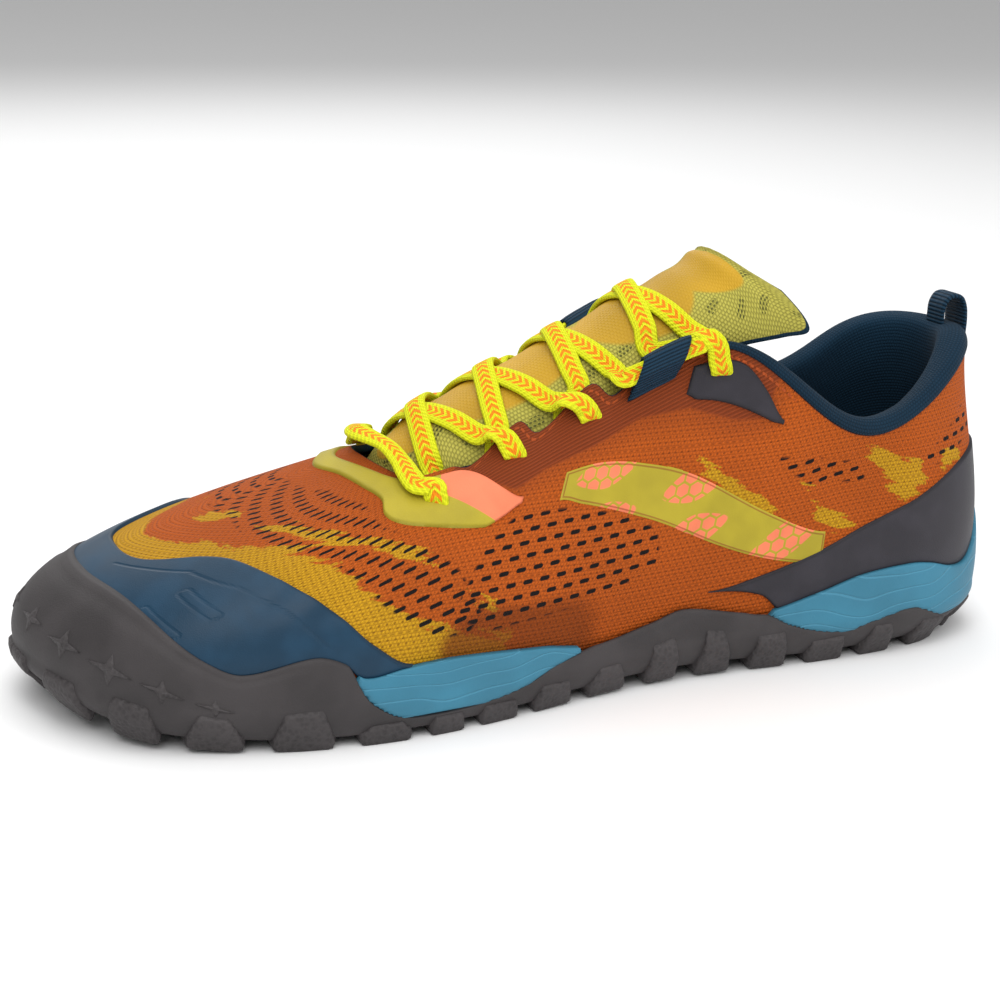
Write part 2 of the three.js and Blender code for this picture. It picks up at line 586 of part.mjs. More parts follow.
// Down the inside, by height up the wall: the share of the padding at each line.
const COLLAR_INSIDE = [
  { v: 0.93, pad: 1 },
  { v: 0.8, pad: 0.85 },
  { v: 0.65, pad: 0.5 },
  { v: 0.5, pad: 0.05 },
];
const COLLAR_PAD = [[0, 3.4], [1, 4.4], [2, 3.6], [3, 2.4], [4, 1.2], [5.2, 0.4]];

function collar() {
  const pad = alongSide(COLLAR_PAD);
  const end = COLLAR_PAD.at(-1)[0];
  const us = stationsFrom(STATIONS - end, STATIONS).slice(0, -1).concat(stationsFrom(0, end));
  const slim = (u) => mix(0.4, 1, smooth(end - Math.min(u, STATIONS - u), 0, 1.6));
  const back = UPPER_WALL + GAP;
  const over = COLLAR_ROLL.map((row) => us.map((u) => pastEdge(u, row.rise * slim(u), -row.depth * (row.depth > 0 ? Math.max(slim(u), 0.65) : 1) - row.pad * pad(u))));
  const inside = COLLAR_INSIDE.map((row) => us.map((u) => skin(u, row.v, -back - 1 - row.pad * (pad(u) + 0.8 * slim(u)))));
  const against = [...COLLAR_INSIDE].reverse().map((row) => us.map((u) => skin(u, row.v, -back)));
  const under = us.map((u) => pastEdge(u, 0.4, -back));
  return shell([...over, ...inside, ...against, under], { closedAcross: true, closedAlong: false });
}

// The tongue, a row for each section from its root to its top: the middle of its outer
// face, the radius it is bent to, how far round it reaches to each side, in degrees, and
// how far its sides sweep back.
const TONGUE = [
  { at: 0.675, height: 0.585, radius: 0.2, reach: 34, sweep: 0 },
  { at: 0.65, height: 0.655, radius: 0.22, reach: 46, sweep: 0 },
  { at: 0.62, height: 0.73, radius: 0.24, reach: 60, sweep: 0 },
  { at: 0.575, height: 0.79, radius: 0.245, reach: 66, sweep: 0 },
  { at: 0.51, height: 0.875, radius: 0.235, reach: 72, sweep: 0 },
  { at: 0.45, height: 0.955, radius: 0.225, reach: 78, sweep: 0 },
  { at: 0.395, height: 1.035, radius: 0.215, reach: 84, sweep: 0 },
  { at: 0.35, height: 1.09, radius: 0.215, reach: 88, sweep: 0.006 },
  { at: 0.322, height: 1.14, radius: 0.24, reach: 86, sweep: 0.018 },
  { at: 0.31, height: 1.155, radius: 0.265, reach: 76, sweep: 0.026 },
  { at: 0.306, height: 1.158, radius: 0.275, reach: 60, sweep: 0.024 },
];
const TONGUE_ACROSS = 12;

const tongueRow = (row) => new THREE.Vector3(HEEL_X - row.at * LAST_LENGTH, -TONGUE_ASIDE, row.height * INSTEP_HEIGHT);

// A point of the tongue: i counts its sections, across runs from -1 to 1.
function tonguePoint(i, across, depth) {
  const row = TONGUE[i];
  const ahead = tongueRow(TONGUE[Math.min(i + 1, TONGUE.length - 2)]);
  const behind = tongueRow(TONGUE[Math.max(Math.min(i, TONGUE.length - 3) - 1, 0)]);
  const along = ahead.sub(behind).normalize();
  const down = new THREE.Vector3(along.z, 0, -along.x);
  const angle = THREE.MathUtils.degToRad(row.reach) * across;
  const radius = row.radius * BALL_WIDTH;
  return tongueRow(row)
    .addScaledVector(down, radius - (radius - depth) * Math.cos(angle))
    .addScaledVector(along, row.sweep * LAST_LENGTH * across ** 2)
    .add(new THREE.Vector3(0, (radius - depth) * Math.sin(angle), 0));
}

// The tongue's pad. grow swells it by a clearance, to cut what lies on it.
function tongue(grow = 0) {
  const side = 1 + grow / 20;
  const across = shares(TONGUE_ACROSS).map((share) => side * (2 * share - 1));
  const line = (share, depth) => TONGUE.map((_, i) => tonguePoint(i, share, i ? depth : depth / 2));
  const outside = across.map((share) => line(share, -grow));
  const inside = [...across].reverse().map((share) => line(share, TONGUE_THICKNESS + grow));
  return shell([...outside, ...inside], { closedAcross: true, closedAlong: false });
}

// A point past the top edge, or below it where rise is negative, h out from the wall.
function rimPoint(u, rise, h) {
  const s = lastAt(u);
  return rise > 0 ? pastEdge(u, rise, h) : skin(u, 1 + rise / (3 * Math.hypot(s.out, s.drop)), h);
}

// A flat strap that follows the top edge over the given stations. Its path is in
// millimetres past the edge and out from the wall, and how far it shifts along the edge.
function strap(us, path, thickness = WEBBING) {
  const line = (u, offset) =>
    path.map(([rise, h, shift = 0], i) => {
      const [rise0, h0] = path[Math.max(i - 1, 0)];
      const [rise1, h1] = path[Math.min(i + 1, path.length - 1)];
      const share = offset / Math.hypot(rise1 - rise0, h1 - h0);
      return rimPoint(u + shift, rise - share * (h1 - h0), h + share * (rise1 - rise0));
    });
  const under = us.map((u) => line(u, -thickness / 2));
  const over = us.map((u) => line(u, thickness / 2)).reverse();
  return shell([...under, ...over], { closedAcross: true, closedAlong: false });
}

const LOOP_AT = { from: 5.46, to: 5.86 };
const LOOP_FOOT = FILM_LIFT + WEBBING / 2; // the loop's inner layer, out from the wall
const LOOP_LACE = LOOP_FOOT + WEBBING / 2 + 2 * GAP + LACE_THICKNESS / 2; // the lace inside it

// A loop sewn on outside, below the edge, with the lace's way through it.
function laceLoop(side) {
  const us = shares(2).map((share) => onSide(mix(LOOP_AT.from, LOOP_AT.to, share), side));
  const top = 2 * LOOP_LACE - LOOP_FOOT;
  const back = strap(us, [[-8, LOOP_FOOT], [-4, LOOP_FOOT], [0, LOOP_FOOT], [LOOP_RISE - 0.6, LOOP_FOOT]]);
  const front = strap(us, [
    [LOOP_RISE - 1.4, LOOP_FOOT + 0.2],
    [LOOP_RISE - 0.5, LOOP_FOOT + 0.9],
    [LOOP_RISE, LOOP_LACE],
    [LOOP_RISE - 0.5, top - 0.9],
    [LOOP_RISE - 1.6, top],
    [0.2, top],
    [-3.5, LOOP_LACE],
    [-7, LOOP_FOOT + 0.5],
  ]);
  return back.add(front);
}

// The pull loop: up the outside of the heel, over the padded rim and down the inside.
function heelLoop() {
  const us = [STATIONS - 0.42, STATIONS - 0.2, 0, 0.2, 0.42];
  return strap(us, [[-6, 1.6], [0, 1.6], [5, 1.9], [9.5, 1.2], [PULL_RISE - 0.8, -0.8], [PULL_RISE - 0.8, -3.6], [9.8, -6.6], [7, -8.4], [3, -9.6], [-2, -10.2], [-7, -10.2]]);
}

// The lacing, a row for each pair of eyelets from the front: its station, and how far the
// lace goes down the wall to it. comes, leaves: the tongue's sections where laces reach it
// and start from it. over: how high it clears the edge. film: 1 on an overlay.
const LACING = [
  { u: 7.95, down: 6.5, comes: 1.2, leaves: 1.5, over: 2.4, film: 1 },
  { u: 7.0, down: 6.5, comes: 2.75, leaves: 3.15, over: 3, film: 0 },
  { u: 6.3, down: 6.5, comes: 3.9, leaves: 4.3, over: 3, film: 0 },
  { u: 5.66, down: 0, comes: 4.9, leaves: 6.2, over: 2.7, film: 0 },
  { u: 4.92, down: 7.5, comes: 6.6, leaves: 7, over: 4.2, film: 1 },
];
const LOOP_ROW = 3;
const LACE_STEPS = 5;
const LACE_STARTS = 0.6; // how far round the tongue a lace starts, from under the edge
const LACE_ENDS = 0.7; // how far round it the lace goes over to the other side
const LACE_HALF = 0.13; // half the lace's width, in stations along the edge
// The bar over the throat's front end, as station, past the edge and out from the wall.
const BAR = [
  { u: 8.1, rise: 3.8, h: 1.4 },
  { u: 8.6, rise: 2.4, h: 2.5 },
  { u: 9.4, rise: 2, h: 2.6 },
  { u: 11, rise: 2, h: 2.8 },
];

// A point over the tongue between its sections, and the way out of it there.
function overTongue(section, across, h) {
  const i = Math.min(Math.floor(section), TONGUE.length - 2);
  const at = (depth) => tonguePoint(i, across, depth).lerp(tonguePoint(i + 1, across, depth), section - i);
  return { point: at(-h), normal: at(-1).sub(at(0)).normalize(), width: LACE_WIDTH };
}

const overUpper = (u, v, h) => ({ point: skin(u, v, h), normal: normalOf(face, u, v), width: LACE_WIDTH });

// A flat strip along a path of points, each with the way its flat side faces.
function ribbon(path, thickness) {
  const corners = [[-1, -1], [-1, 1], [1, 1], [1, -1]];
  const rows = corners.map(([a, b]) =>
    path.map(({ point, normal, width }, i) => {
      const ahead = path[Math.min(i + 1, path.length - 1)].point;
      const along = ahead.clone().sub(path[Math.max(i - 1, 0)].point);
      const across = along.cross(normal).normalize();
      return point.clone().addScaledVector(across, (a * width) / 2).addScaledVector(normal, (b * thickness) / 2);
    }),
  );
  return shell(rows, { closedAcross: true, closedAlong: false });
}

// The end of a lace, over the upper's edge and down the wall to its eyelet.
function laceEnd({ u, down, over, film }, side) {
  const h = film * (FILM_LIFT + OVERLAY) + GAP + 0.3 + LACE_THICKNESS / 2;
  const us = [-1, 1].map((k) => onSide(u + k * LACE_HALF, side));
  const slant = 0.1 * (side < 0 ? 1 : -1);
  const path = [[-down, h, 0], [-down / 2, h + 0.1, 0], [0, h + 0.7, slant / 2], [over, 0.1, slant], [over + 1.6, -1.8, slant]];
  return strap(us, path, LACE_THICKNESS);
}

// The end of a lace inside a loop, from its mouth to its middle.
function loopEnd({ u, over }, side, towards) {
  const half = (LOOP_AT.to - LOOP_AT.from) / 2;
  return [towards < 0 ? 2 : 1.6, -0.4].map((share) => {
    const at = onSide(u + towards * share * half, side);
    return { point: pastEdge(at, over, LOOP_LACE + (share > 1 ? 0.2 : 0)), normal: normalOf(face, at, 1), width: 3.2 };
  });
}

function laceRun(from, to, side) {
  const [a, b] = [LACING[from], LACING[to]];
  const h = GAP + LACE_THICKNESS / 2 + LACE_SLACK;
  const over = shares(LACE_STEPS).map((share) => overTongue(mix(a.leaves, b.comes, share), side * mix(LACE_STARTS, -LACE_ENDS, share), h));
  const start = from === LOOP_ROW ? loopEnd(a, side, -1).reverse() : [];
  if (from !== LOOP_ROW) start.push({ ...over[0], point: pastEdge(onSide(a.u - 0.05, side), a.over + 1.9, -0.6) });
  const edge = onSide(b.u + 0.1, -side);
  const up = face(edge, 1).sub(face(edge, 0.97)).normalize();
  const last = { point: pastEdge(edge, b.over + 1.4, -0.7), normal: up.add(normalOf(face, edge, 1)).normalize(), width: LACE_WIDTH };
  const end = to === LOOP_ROW ? loopEnd(b, -side, 1) : [last];
  return ribbon([...start, ...over, ...end], LACE_THICKNESS);
}

function laces() {
  const over = (side) => BAR.map(({ u, rise, h }) => ({ point: pastEdge(onSide(u, side), rise, h), normal: normalOf(face, onSide(u, side), 1), width: LACE_WIDTH }));
  let whole = ribbon([...over(-1).slice(0, -1), ...over(1).reverse()], LACE_THICKNESS);
  for (const side of [-1, 1]) {
    for (let row = 0; row < LACING.length - 1; row++) whole = whole.add(laceRun(row, row + 1, side));
    LACING.forEach((eyelet, row) => {
      if (row !== LOOP_ROW) whole = whole.add(laceEnd(eyelet, side));
    });
  }
  return largest(whole.subtract(tongue(GAP)));
}

const PALETTE = {
  rubber: { color: 0x5a5556, roughness: 0.75 },
  foam: { color: 0x3f8fb0, roughness: 0.6 },
  mesh: { color: 0xd9651c, roughness: 0.85 },
  navy: { color: 0x1d4660, roughness: 0.7 },
  olive: { color: 0xa8a02c, roughness: 0.55 },
  grey: { color: 0x4c4b52, roughness: 0.5 },
  lime: { color: 0xc9cc5a, roughness: 0.85 },
  lace: { color: 0xe6ee1c, roughness: 0.8 },
};

function piece(name, solid, finish) {
  const mesh = new THREE.Mesh(geometryOf(solid), new THREE.MeshStandardMaterial({ ...PALETTE[finish], metalness: 0 }));
  mesh.name = name;
  return mesh;
}

const shoe = new THREE.Group();
shoe.add(piece("outsole", outsole(), "rubber"));
shoe.add(piece("midsole", midsole(), "foam"));
shoe.add(piece("insole", insole(), "navy"));
shoe.add(piece("upper", upper(), "mesh"));
shoe.add(piece("toe_cap", toeCap(), "grey"));
shoe.add(piece("heel_counter", heelCounter(), "grey"));
shoe.add(piece("vamp_overlay", vampOverlay(), "olive"));
shoe.add(piece("eyelet_patch_outer", eyeletPatch(-1), "olive"));
shoe.add(piece("eyelet_patch_inner", eyeletPatch(1), "olive"));
shoe.add(piece("collar", collar(), "navy"));
shoe.add(piece("tongue", tongue(), "lime"));
shoe.add(piece("laces", laces(), "lace"));
shoe.add(piece("lace_loop_outer", laceLoop(-1), "navy"));
shoe.add(piece("lace_loop_inner", laceLoop(1), "navy"));
shoe.add(piece("heel_loop", heelLoop(), "navy"));

// The origin: under the middle of the whole shoe, on the floor.
const bounds = new THREE.Box3().setFromObject(shoe);
const middle = bounds.getCenter(new THREE.Vector3());
shoe.position.set(-middle.x, -middle.y, -bounds.min.z);

export default shoe;
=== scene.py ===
"""A left barefoot trail running shoe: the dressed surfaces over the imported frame.

The shapes are worked out in millimetres on two parameters, u round the shoe and v up the
wall, and are written into the meshes in metres.
"""
import functools
import math

import bpy
import numpy as np
from bpy.props import FloatProperty, FloatVectorProperty, PointerProperty
from mathutils import Matrix, Vector


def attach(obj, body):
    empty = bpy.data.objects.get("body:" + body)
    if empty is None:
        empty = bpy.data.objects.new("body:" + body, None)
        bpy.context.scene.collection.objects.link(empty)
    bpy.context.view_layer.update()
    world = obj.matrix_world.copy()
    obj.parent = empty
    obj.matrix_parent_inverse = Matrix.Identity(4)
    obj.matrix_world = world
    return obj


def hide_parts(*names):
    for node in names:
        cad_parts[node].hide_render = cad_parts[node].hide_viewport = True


bl_info = {
    "name": "Trail Shoe",
    "version": (1, 0, 0),
    "blender": (4, 5, 0),
    "location": "View3D > Sidebar > Shoe",
    "description": "Builds the soft and moulded surfaces of a barefoot trail running shoe",
    "category": "Object",
}

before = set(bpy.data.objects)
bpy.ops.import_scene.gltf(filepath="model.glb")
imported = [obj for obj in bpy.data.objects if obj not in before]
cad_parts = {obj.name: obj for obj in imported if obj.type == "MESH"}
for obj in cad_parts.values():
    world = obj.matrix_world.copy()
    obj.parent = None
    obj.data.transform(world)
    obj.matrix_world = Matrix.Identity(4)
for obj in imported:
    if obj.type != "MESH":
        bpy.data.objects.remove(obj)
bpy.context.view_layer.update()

# The frame's origin lies this far from the origin of the tables below, in millimetres.
SHIFT = np.array([1.695, 1.045, 0.0])
UP = np.array([0.0, 0.0, 1.0])
TAU = 2 * math.pi

LAST_LENGTH = 280.0
BALL_WIDTH = 100.0
INSTEP_HEIGHT = 100.0
HEEL_X = 138.0

# at, outer, inner, foot, lean, rise, out, drop, edge_at, edge_outer, edge_inner, edge
LAST = np.array([
    [0.0, 0.0, 0.0, 0.16, 0.08, 0.22, 0.0, 0.2, 0.011, 0.0, 0.0, 0.86],
    [0.02, 0.35, 0.35, 0.16, 0.07, 0.22, 0.0, 0.2, 0.03, 0.32, 0.32, 0.845],
    [0.09, 0.57, 0.58, 0.16, 0.05, 0.24, 0.01, 0.18, 0.093, 0.55, 0.55, 0.73],
    [0.19, 0.62, 0.62, 0.155, 0.04, 0.22, 0.02, 0.16, 0.179, 0.64, 0.62, 0.66],
    [0.3, 0.62, 0.58, 0.135, 0.04, 0.26, 0.05, 0.24, 0.261, 0.64, 0.6, 0.8],
    [0.405, 0.65, 0.54, 0.13, 0.05, 0.28, 0.09, 0.28, 0.339, 0.54, 0.52, 0.93],
    [0.52, 0.78, 0.56, 0.13, 0.06, 0.26, 0.1, 0.2, 0.439, 0.5, 0.46, 0.84],
    [0.63, 0.91, 0.72, 0.135, 0.07, 0.26, 0.12, 0.13, 0.55, 0.49, 0.44, 0.71],
    [0.735, 0.95, 0.87, 0.14, 0.07, 0.24, 0.18, 0.1, 0.632, 0.42, 0.38, 0.62],
    [0.845, 0.86, 0.89, 0.14, 0.06, 0.24, 0.36, 0.14, 0.666, 0.27, 0.25, 0.625],
    [0.945, 0.54, 0.72, 0.15, 0.05, 0.22, 0.44, 0.16, 0.678, 0.12, 0.12, 0.64],
    [1.0, -0.22, 0.22, 0.16, 0.04, 0.2, 0.5, 0.18, 0.682, 0.0, 0.0, 0.645],
])

# spread, ground, swell
SOLE = np.array([
    [-3.0, 4.5, 4.6], [-2.5, 3.0, 4.6], [-2.0, -0.3, 4.6], [0.0, -0.6, 4.2], [1.0, 0.7, 3.4], [1.2, 1.1, 3.4],
    [1.5, 0.4, 3.6], [2.5, -0.5, 4.2], [3.0, -0.5, 4.4], [2.5, 0.8, 4.6], [0.0, 2.8, 3.8], [-4.5, 5.0, 1.6],
])

# Drawn edges: station from the heel (0) to the toe (11), share up the wall.
SOLE_TOP = [[0, 0.33], [0.45, 0.29], [0.91, 0.18], [1.25, 0.11], [1.62, 0.11], [2, 0.15], [2.3, 0.17],
            [2.85, 0.16], [3.3, 0.1], [3.85, 0.045], [4.1, 0.062], [4.75, 0.1], [5.1, 0.07], [5.7, 0.035],
            [6.2, 0.065], [7.15, 0.09], [7.6, 0.078], [7.95, 0.06], [8.13, 0.125], [8.4, 0.16], [8.95, 0.105],
            [9.24, 0.15], [9.83, 0.3], [10.25, 0.37], [10.76, 0.4], [11, 0.405]]
OUTSOLE_TOP = [[0, 0.3], [1.1, 0.3], [1.8, 0.33], [2.25, 0.48], [2.8, 0.38], [3, 0.32], [3.35, 0.46],
               [3.62, 0.69], [3.88, 1], [5.65, 1], [5.92, 0.84], [6.45, 0.4], [6.95, 0.22], [7.45, 0.2],
               [7.68, 0.3], [7.87, 0.58], [8.1, 1], [11, 1]]
TOE_CAP_TOP = [[7.5, 0.085], [7.9, 0.183], [8.27, 0.325], [8.69, 0.45], [9.15, 0.533], [9.62, 0.575],
               [9.98, 0.567], [10.46, 0.508], [11, 0.51]]
COUNTER_TOP = [[0, 0.59], [1.26, 0.583], [1.81, 0.558], [2.34, 0.508], [2.85, 0.442], [3.37, 0.308],
               [3.9, 0.208], [4.5, 0.15]]
COUNTER_FOOT = [[3.55, 0], [3.9, 0.115], [4.5, 0.145]]
WING_TOP = [[6.72, 0.67], [6.85, 0.7], [7.35, 0.905], [7.62, 0.965], [8.6, 0.98], [11, 0.97]]
WING_FOOT = [[6.72, 0.64], [6.9, 0.605], [7.08, 0.585], [8.05, 0.73], [8.3, 0.79], [8.5, 0.87], [8.9, 0.91],
             [9.82, 0.93], [11, 0.925]]
PATCH_TOP = [[4.05, 0.88], [4.33, 0.935], [4.61, 0.972], [4.83, 0.972], [5.25, 0.95]]
PATCH_FOOT = [[4.05, 0.86], [4.2, 0.845], [5.1, 0.83], [5.25, 0.85]]
SIDE_TOP = [[3.3, 0.42], [3.9, 0.48], [4.6, 0.55], [5.4, 0.63], [6.0, 0.7], [6.35, 0.71]]
SIDE_FOOT = [[3.3, 0.27], [3.5, 0.25], [4.5, 0.33], [5.4, 0.45], [6.1, 0.56], [6.35, 0.6]]
# The throat's scalloped edge: millimetres past the plain edge.
SCALLOPS = [[5.0, 0], [5.5, 0.4], [5.86, 0.4], [6.07, -2.2], [6.36, 5.8], [6.75, -1.8], [7.04, 5.8],
            [7.42, -2.2], [7.7, 0.4], [8.3, 0], [11, 0]]

# How much higher the collar's edge is on the inner side, row by row of the last, in millimetres.
INNER_EDGE = [0, 1.5, 8.0, 2.5, 0, 0, 0, 0, 0, 0, 0, 0]

STATIONS = 2 * len(LAST) - 2
TOE = len(LAST) - 1
SIDES = ((-1, "outer"), (1, "inner"))

# from, to, top, draw
SIDE_LUGS = np.array([
    [0.0, 0.6, 0.26, 0.05], [0.85, 1.4, 0.26, 0.1], [1.65, 2.15, 0.3, 0.06], [2.4, 2.8, 0.34, 0.1],
    [2.98, 3.4, 0.28, 0.04], [3.6, 4.0, 0.6, 0.06], [4.2, 4.6, 0.66, 0.1], [4.8, 5.15, 0.6, 0.05],
    [5.35, 5.75, 0.5, 0.1], [5.9, 6.3, 0.36, 0.06], [6.45, 6.85, 0.2, 0.04], [7.0, 7.35, 0.17, 0.04],
    [7.52, 8.0, 0.2, 0.1], [8.2, 8.72, 0.42, 0.1], [8.92, 9.4, 0.4, 0.12], [9.58, 9.98, 0.34, 0.06],
    [10.16, 10.56, 0.3, 0.06], [10.74, 11.0, 0.28, 0.0],
])

# at, height, radius, reach, sweep
TONGUE = np.array([
    [0.675, 0.585, 0.2, 34, 0], [0.65, 0.655, 0.22, 46, 0], [0.62, 0.73, 0.24, 60, 0],
    [0.575, 0.79, 0.245, 66, 0], [0.51, 0.875, 0.235, 72, 0], [0.45, 0.955, 0.225, 78, 0],
    [0.395, 1.035, 0.215, 84, 0], [0.35, 1.09, 0.215, 88, 0.006], [0.322, 1.14, 0.24, 95, 0.018],
    [0.31, 1.155, 0.265, 90, 0.028], [0.306, 1.158, 0.275, 56, 0.02],
])

# The lacing's rows from the throat's front: station, eyelet below the edge, where on the tongue
# the lace comes and leaves, and whether a film lies under it.
# u, down, comes, leaves, film
LACING = np.array([
    [7.72, 10.2, 1.2, 1.5, 1], [6.97, 4.9, 2.7, 3.05, 0], [6.28, 4.5, 3.85, 4.3, 0],
    [5.68, 0.0, 4.9, 5.6, 0], [4.95, 6.0, 6.35, 7.0, 1],
])
LOOP_ROW = 3

# u, low, high, slope, width, depth: creases given one by one, on both sides
CREASES = np.array([
    [8.15, 0.30, 0.72, -0.9, 4.5, 0.55],
    [8.62, 0.34, 0.78, -0.7, 4.0, 0.40],
    [7.55, 0.22, 0.62, -0.8, 5.0, 0.45],
    [3.35, 0.55, 0.95, 1.6, 5.0, 0.50],
    [2.75, 0.62, 0.95, 0.9, 4.5, 0.40],
    [5.05, 0.30, 0.70, 1.2, 7.0, 0.35],
])


def from_heel(u):
    """The outer side's station that lies across from any station: both count from the heel."""
    w = np.mod(np.asarray(u, float), STATIONS)
    return np.minimum(w, STATIONS - w)


def closed_curve(rows):
    """A closed curve through the rows whose slope and curvature run on at each of them."""
    n = len(rows)
    near = np.roll(np.eye(n), 1, 0) + np.roll(np.eye(n), -1, 0)
    slope = np.linalg.solve(4 * np.eye(n) + near, 3 * (np.roll(rows, -1, 0) - np.roll(rows, 1, 0)))

    def at(u):
        w = np.mod(np.asarray(u, float), n)
        i = np.floor(w).astype(int) % n
        j = (i + 1) % n
        f = (w - np.floor(w))[..., None]
        a = 2 * f**3 - 3 * f**2 + 1
        return a * rows[i] + (f**3 - 2 * f**2 + f) * slope[i] + (1 - a) * rows[j] + (f**3 - f**2) * slope[j]

    return at


def smooth_line(points):
    """A smooth curve through points in a row: cubic pieces with the slope of the neighbours."""
    points = np.asarray(points, float)
    slope = np.gradient(points, axis=0)

    def at(t):
        t = np.clip(np.asarray(t, float), 0, len(points) - 1)
        i = np.clip(np.floor(t).astype(int), 0, len(points) - 2)
        f = (t - i).reshape(t.shape + (1,) * (points.ndim - 1))
        a = 2 * f**3 - 3 * f**2 + 1
        run = (f**3 - 2 * f**2 + f) * slope[i] + (f**3 - f**2) * slope[i + 1]
        return a * points[i] + (1 - a) * points[i + 1] + run

    return at


def along_side(table):
    """A smooth value by station, the same on both sides, level past the table's ends."""
    x, y = np.array(table, float).T
    s = np.zeros(len(x))
    s[1:-1] = (y[2:] - y[:-2]) / (x[2:] - x[:-2])

    def at(u):
        p = np.clip(from_heel(u), x[0], x[-1])
        i = np.clip(np.searchsorted(x, p, side="right") - 1, 0, len(x) - 2)
        h = x[i + 1] - x[i]
        f = (p - x[i]) / h
        a = 2 * f**3 - 3 * f**2 + 1
        return a * y[i] + (1 - a) * y[i + 1] + h * ((f**3 - 2 * f**2 + f) * s[i] + (f**3 - f**2) * s[i + 1])

    return at


def both_sides(rows, make):
    """Rows round the shoe: the outer side from the heel to the toe, then the inner side back."""
    outer = [make(row, -1, 0) for row in rows]
    inner = [make(row, 1, lift) for row, lift in zip(rows, INNER_EDGE)]
    return np.array(outer + inner[-2:0:-1])


def station(row, side, lift):
    """One row of the last on its outer (-1) or inner (+1) side, in millimetres."""
    half = BALL_WIDTH / 2
    x, edge_x = HEEL_X - row[0] * LAST_LENGTH, HEEL_X - row[8] * LAST_LENGTH
    y, edge_y = (-half * row[1], -half * row[9]) if side < 0 else (half * row[2], half * row[10])
    return [x, y, *(row[3:8] * INSTEP_HEIGHT), edge_x, edge_y, row[11] * INSTEP_HEIGHT + lift]


last_at = closed_curve(both_sides(LAST, station))
sole_at = closed_curve(both_sides(SOLE, lambda row, side, lift: row))
sole_top = along_side(SOLE_TOP)
outsole_row = along_side(OUTSOLE_TOP)
scallop = along_side(SCALLOPS)


def outsole_top(u):
    """How far up the sole's side the rubber reaches; past 1 the curve is cut off level."""
    return np.minimum(outsole_row(u), 1)


def unit(v):
    """Vectors divided by their length."""
    return v / np.maximum(np.linalg.norm(v, axis=-1, keepdims=True), 1e-12)


def mix(a, b, share):
    """From a to b by a share."""
    return a + (b - a) * share


def smooth(x, low, high):
    """0 below low, 1 above high, and a cubic between them."""
    t = np.clip((x - low) / (high - low), 0, 1)
    return t * t * (3 - 2 * t)


def foot(u):
    """The line where the upper's outer face starts above the sole."""
    return last_at(u)[..., :3]


def outward(u):
    """The level direction out of the shoe: across the line of the upper's foot."""
    d = foot(u + 0.02) - foot(u - 0.02)
    return unit(np.stack([-d[..., 1], d[..., 0], 0 * d[..., 0]], -1))


def face(u, v):
    """The upper's outer face: a cubic from the foot (v 0) to the top edge (v 1)."""
    u, v = np.broadcast_arrays(np.asarray(u, float), np.asarray(v, float))
    s = last_at(u)
    low, high = s[..., :3], s[..., 7:10]
    away = unit((low - high) * np.array([1, 1, 0.0]))
    a = low + outward(u) * s[..., 3:4] + UP * s[..., 4:5]
    b = high + away * s[..., 5:6] - UP * s[..., 6:7]
    v = v[..., None]
    return (1 - v) ** 3 * low + 3 * (1 - v) ** 2 * v * a + 3 * (1 - v) * v**2 * b + v**3 * high


def normal(surface, a, b):
    """The direction out of a surface: across its slopes along both parameters."""
    e = 1e-3
    along = surface(a + e, b) - surface(a - e, b)
    return unit(np.cross(surface(a, b + e) - surface(a, b - e), along))


def skin(u, v, h):
    """The outer face, h millimetres out along its normal."""
    return face(u, v) + normal(face, u, v) * np.asarray(h, float)[..., None]


def past_edge(u, rise, h):
    """Past the top edge, straight on in the wall's own direction."""
    u = np.asarray(u, float)
    one = np.ones_like(u)
    up = unit(face(u, one) - face(u, 0.97 * one))
    return skin(u, one, h) + up * np.asarray(rise, float)[..., None]


def rim_point(u, rise, h):
    """Along the wall by millimetres from its top edge: past it, or down the face."""
    u, rise, h = np.broadcast_arrays(np.asarray(u, float), np.asarray(rise, float), np.asarray(h, float))
    s = last_at(u)
    speed = 3 * np.hypot(s[..., 5], s[..., 6])
    down = skin(u, 1 + np.minimum(rise, 0) / speed, h)
    return np.where((rise > 0)[..., None], past_edge(u, np.maximum(rise, 0), h), down)


LUG_DEPTH = 3.0
SOLE_LIP = 1.8
SIDE_BEND = 0.55
SIDE_BULGE = 2.5


def sole_face(u, t):
    """The sole's side: a bulging curve out of the ground edge, then along the upper."""
    u, t = np.broadcast_arrays(np.asarray(u, float), np.asarray(t, float))
    s = sole_at(u)
    out = outward(u)
    low = foot(u) + out * s[..., 0:1]
    low[..., 2] = np.maximum(0, s[..., 1]) + LUG_DEPTH
    bite = sole_top(u)
    beside = skin(u, 0 * bite, s[..., 2])
    height = beside[..., 2] - low[..., 2]
    turn = height / (height + np.maximum(face(u, bite)[..., 2] - foot(u)[..., 2], 0))
    high = np.maximum((t - turn) / np.maximum(1 - turn, 1e-9), 0)
    above = skin(u, high * bite, mix(s[..., 2], SOLE_LIP, high))
    share = (t / turn)[..., None]
    up = unit(face(u, 0 * bite + 0.02) - face(u, 0 * bite))
    bend = beside - up * (height * SIDE_BEND)[..., None] + out * SIDE_BULGE
    side = low * (1 - share) ** 2 + bend * 2 * share * (1 - share) + beside * share**2
    return np.where((t > turn)[..., None], above, side)


def sole_edge(u):
    """The lower edge of the sole's side, above the lugs."""
    return sole_face(u, np.zeros_like(np.asarray(u, float)))


def sole_skin(u, t, h):
    """The sole's side, h millimetres out along its normal."""
    return sole_face(u, t) + normal(sole_face, u, t) * np.asarray(h, float)[..., None]


def towards_middle(ring, u, share):
    """A ring drawn in towards the line along the middle of the sole."""
    p = np.clip(from_heel(u), 1, TOE - 1)
    middle = 0.5 * (ring(p) + ring(STATIONS - p))
    return mix(middle, ring(u), share)


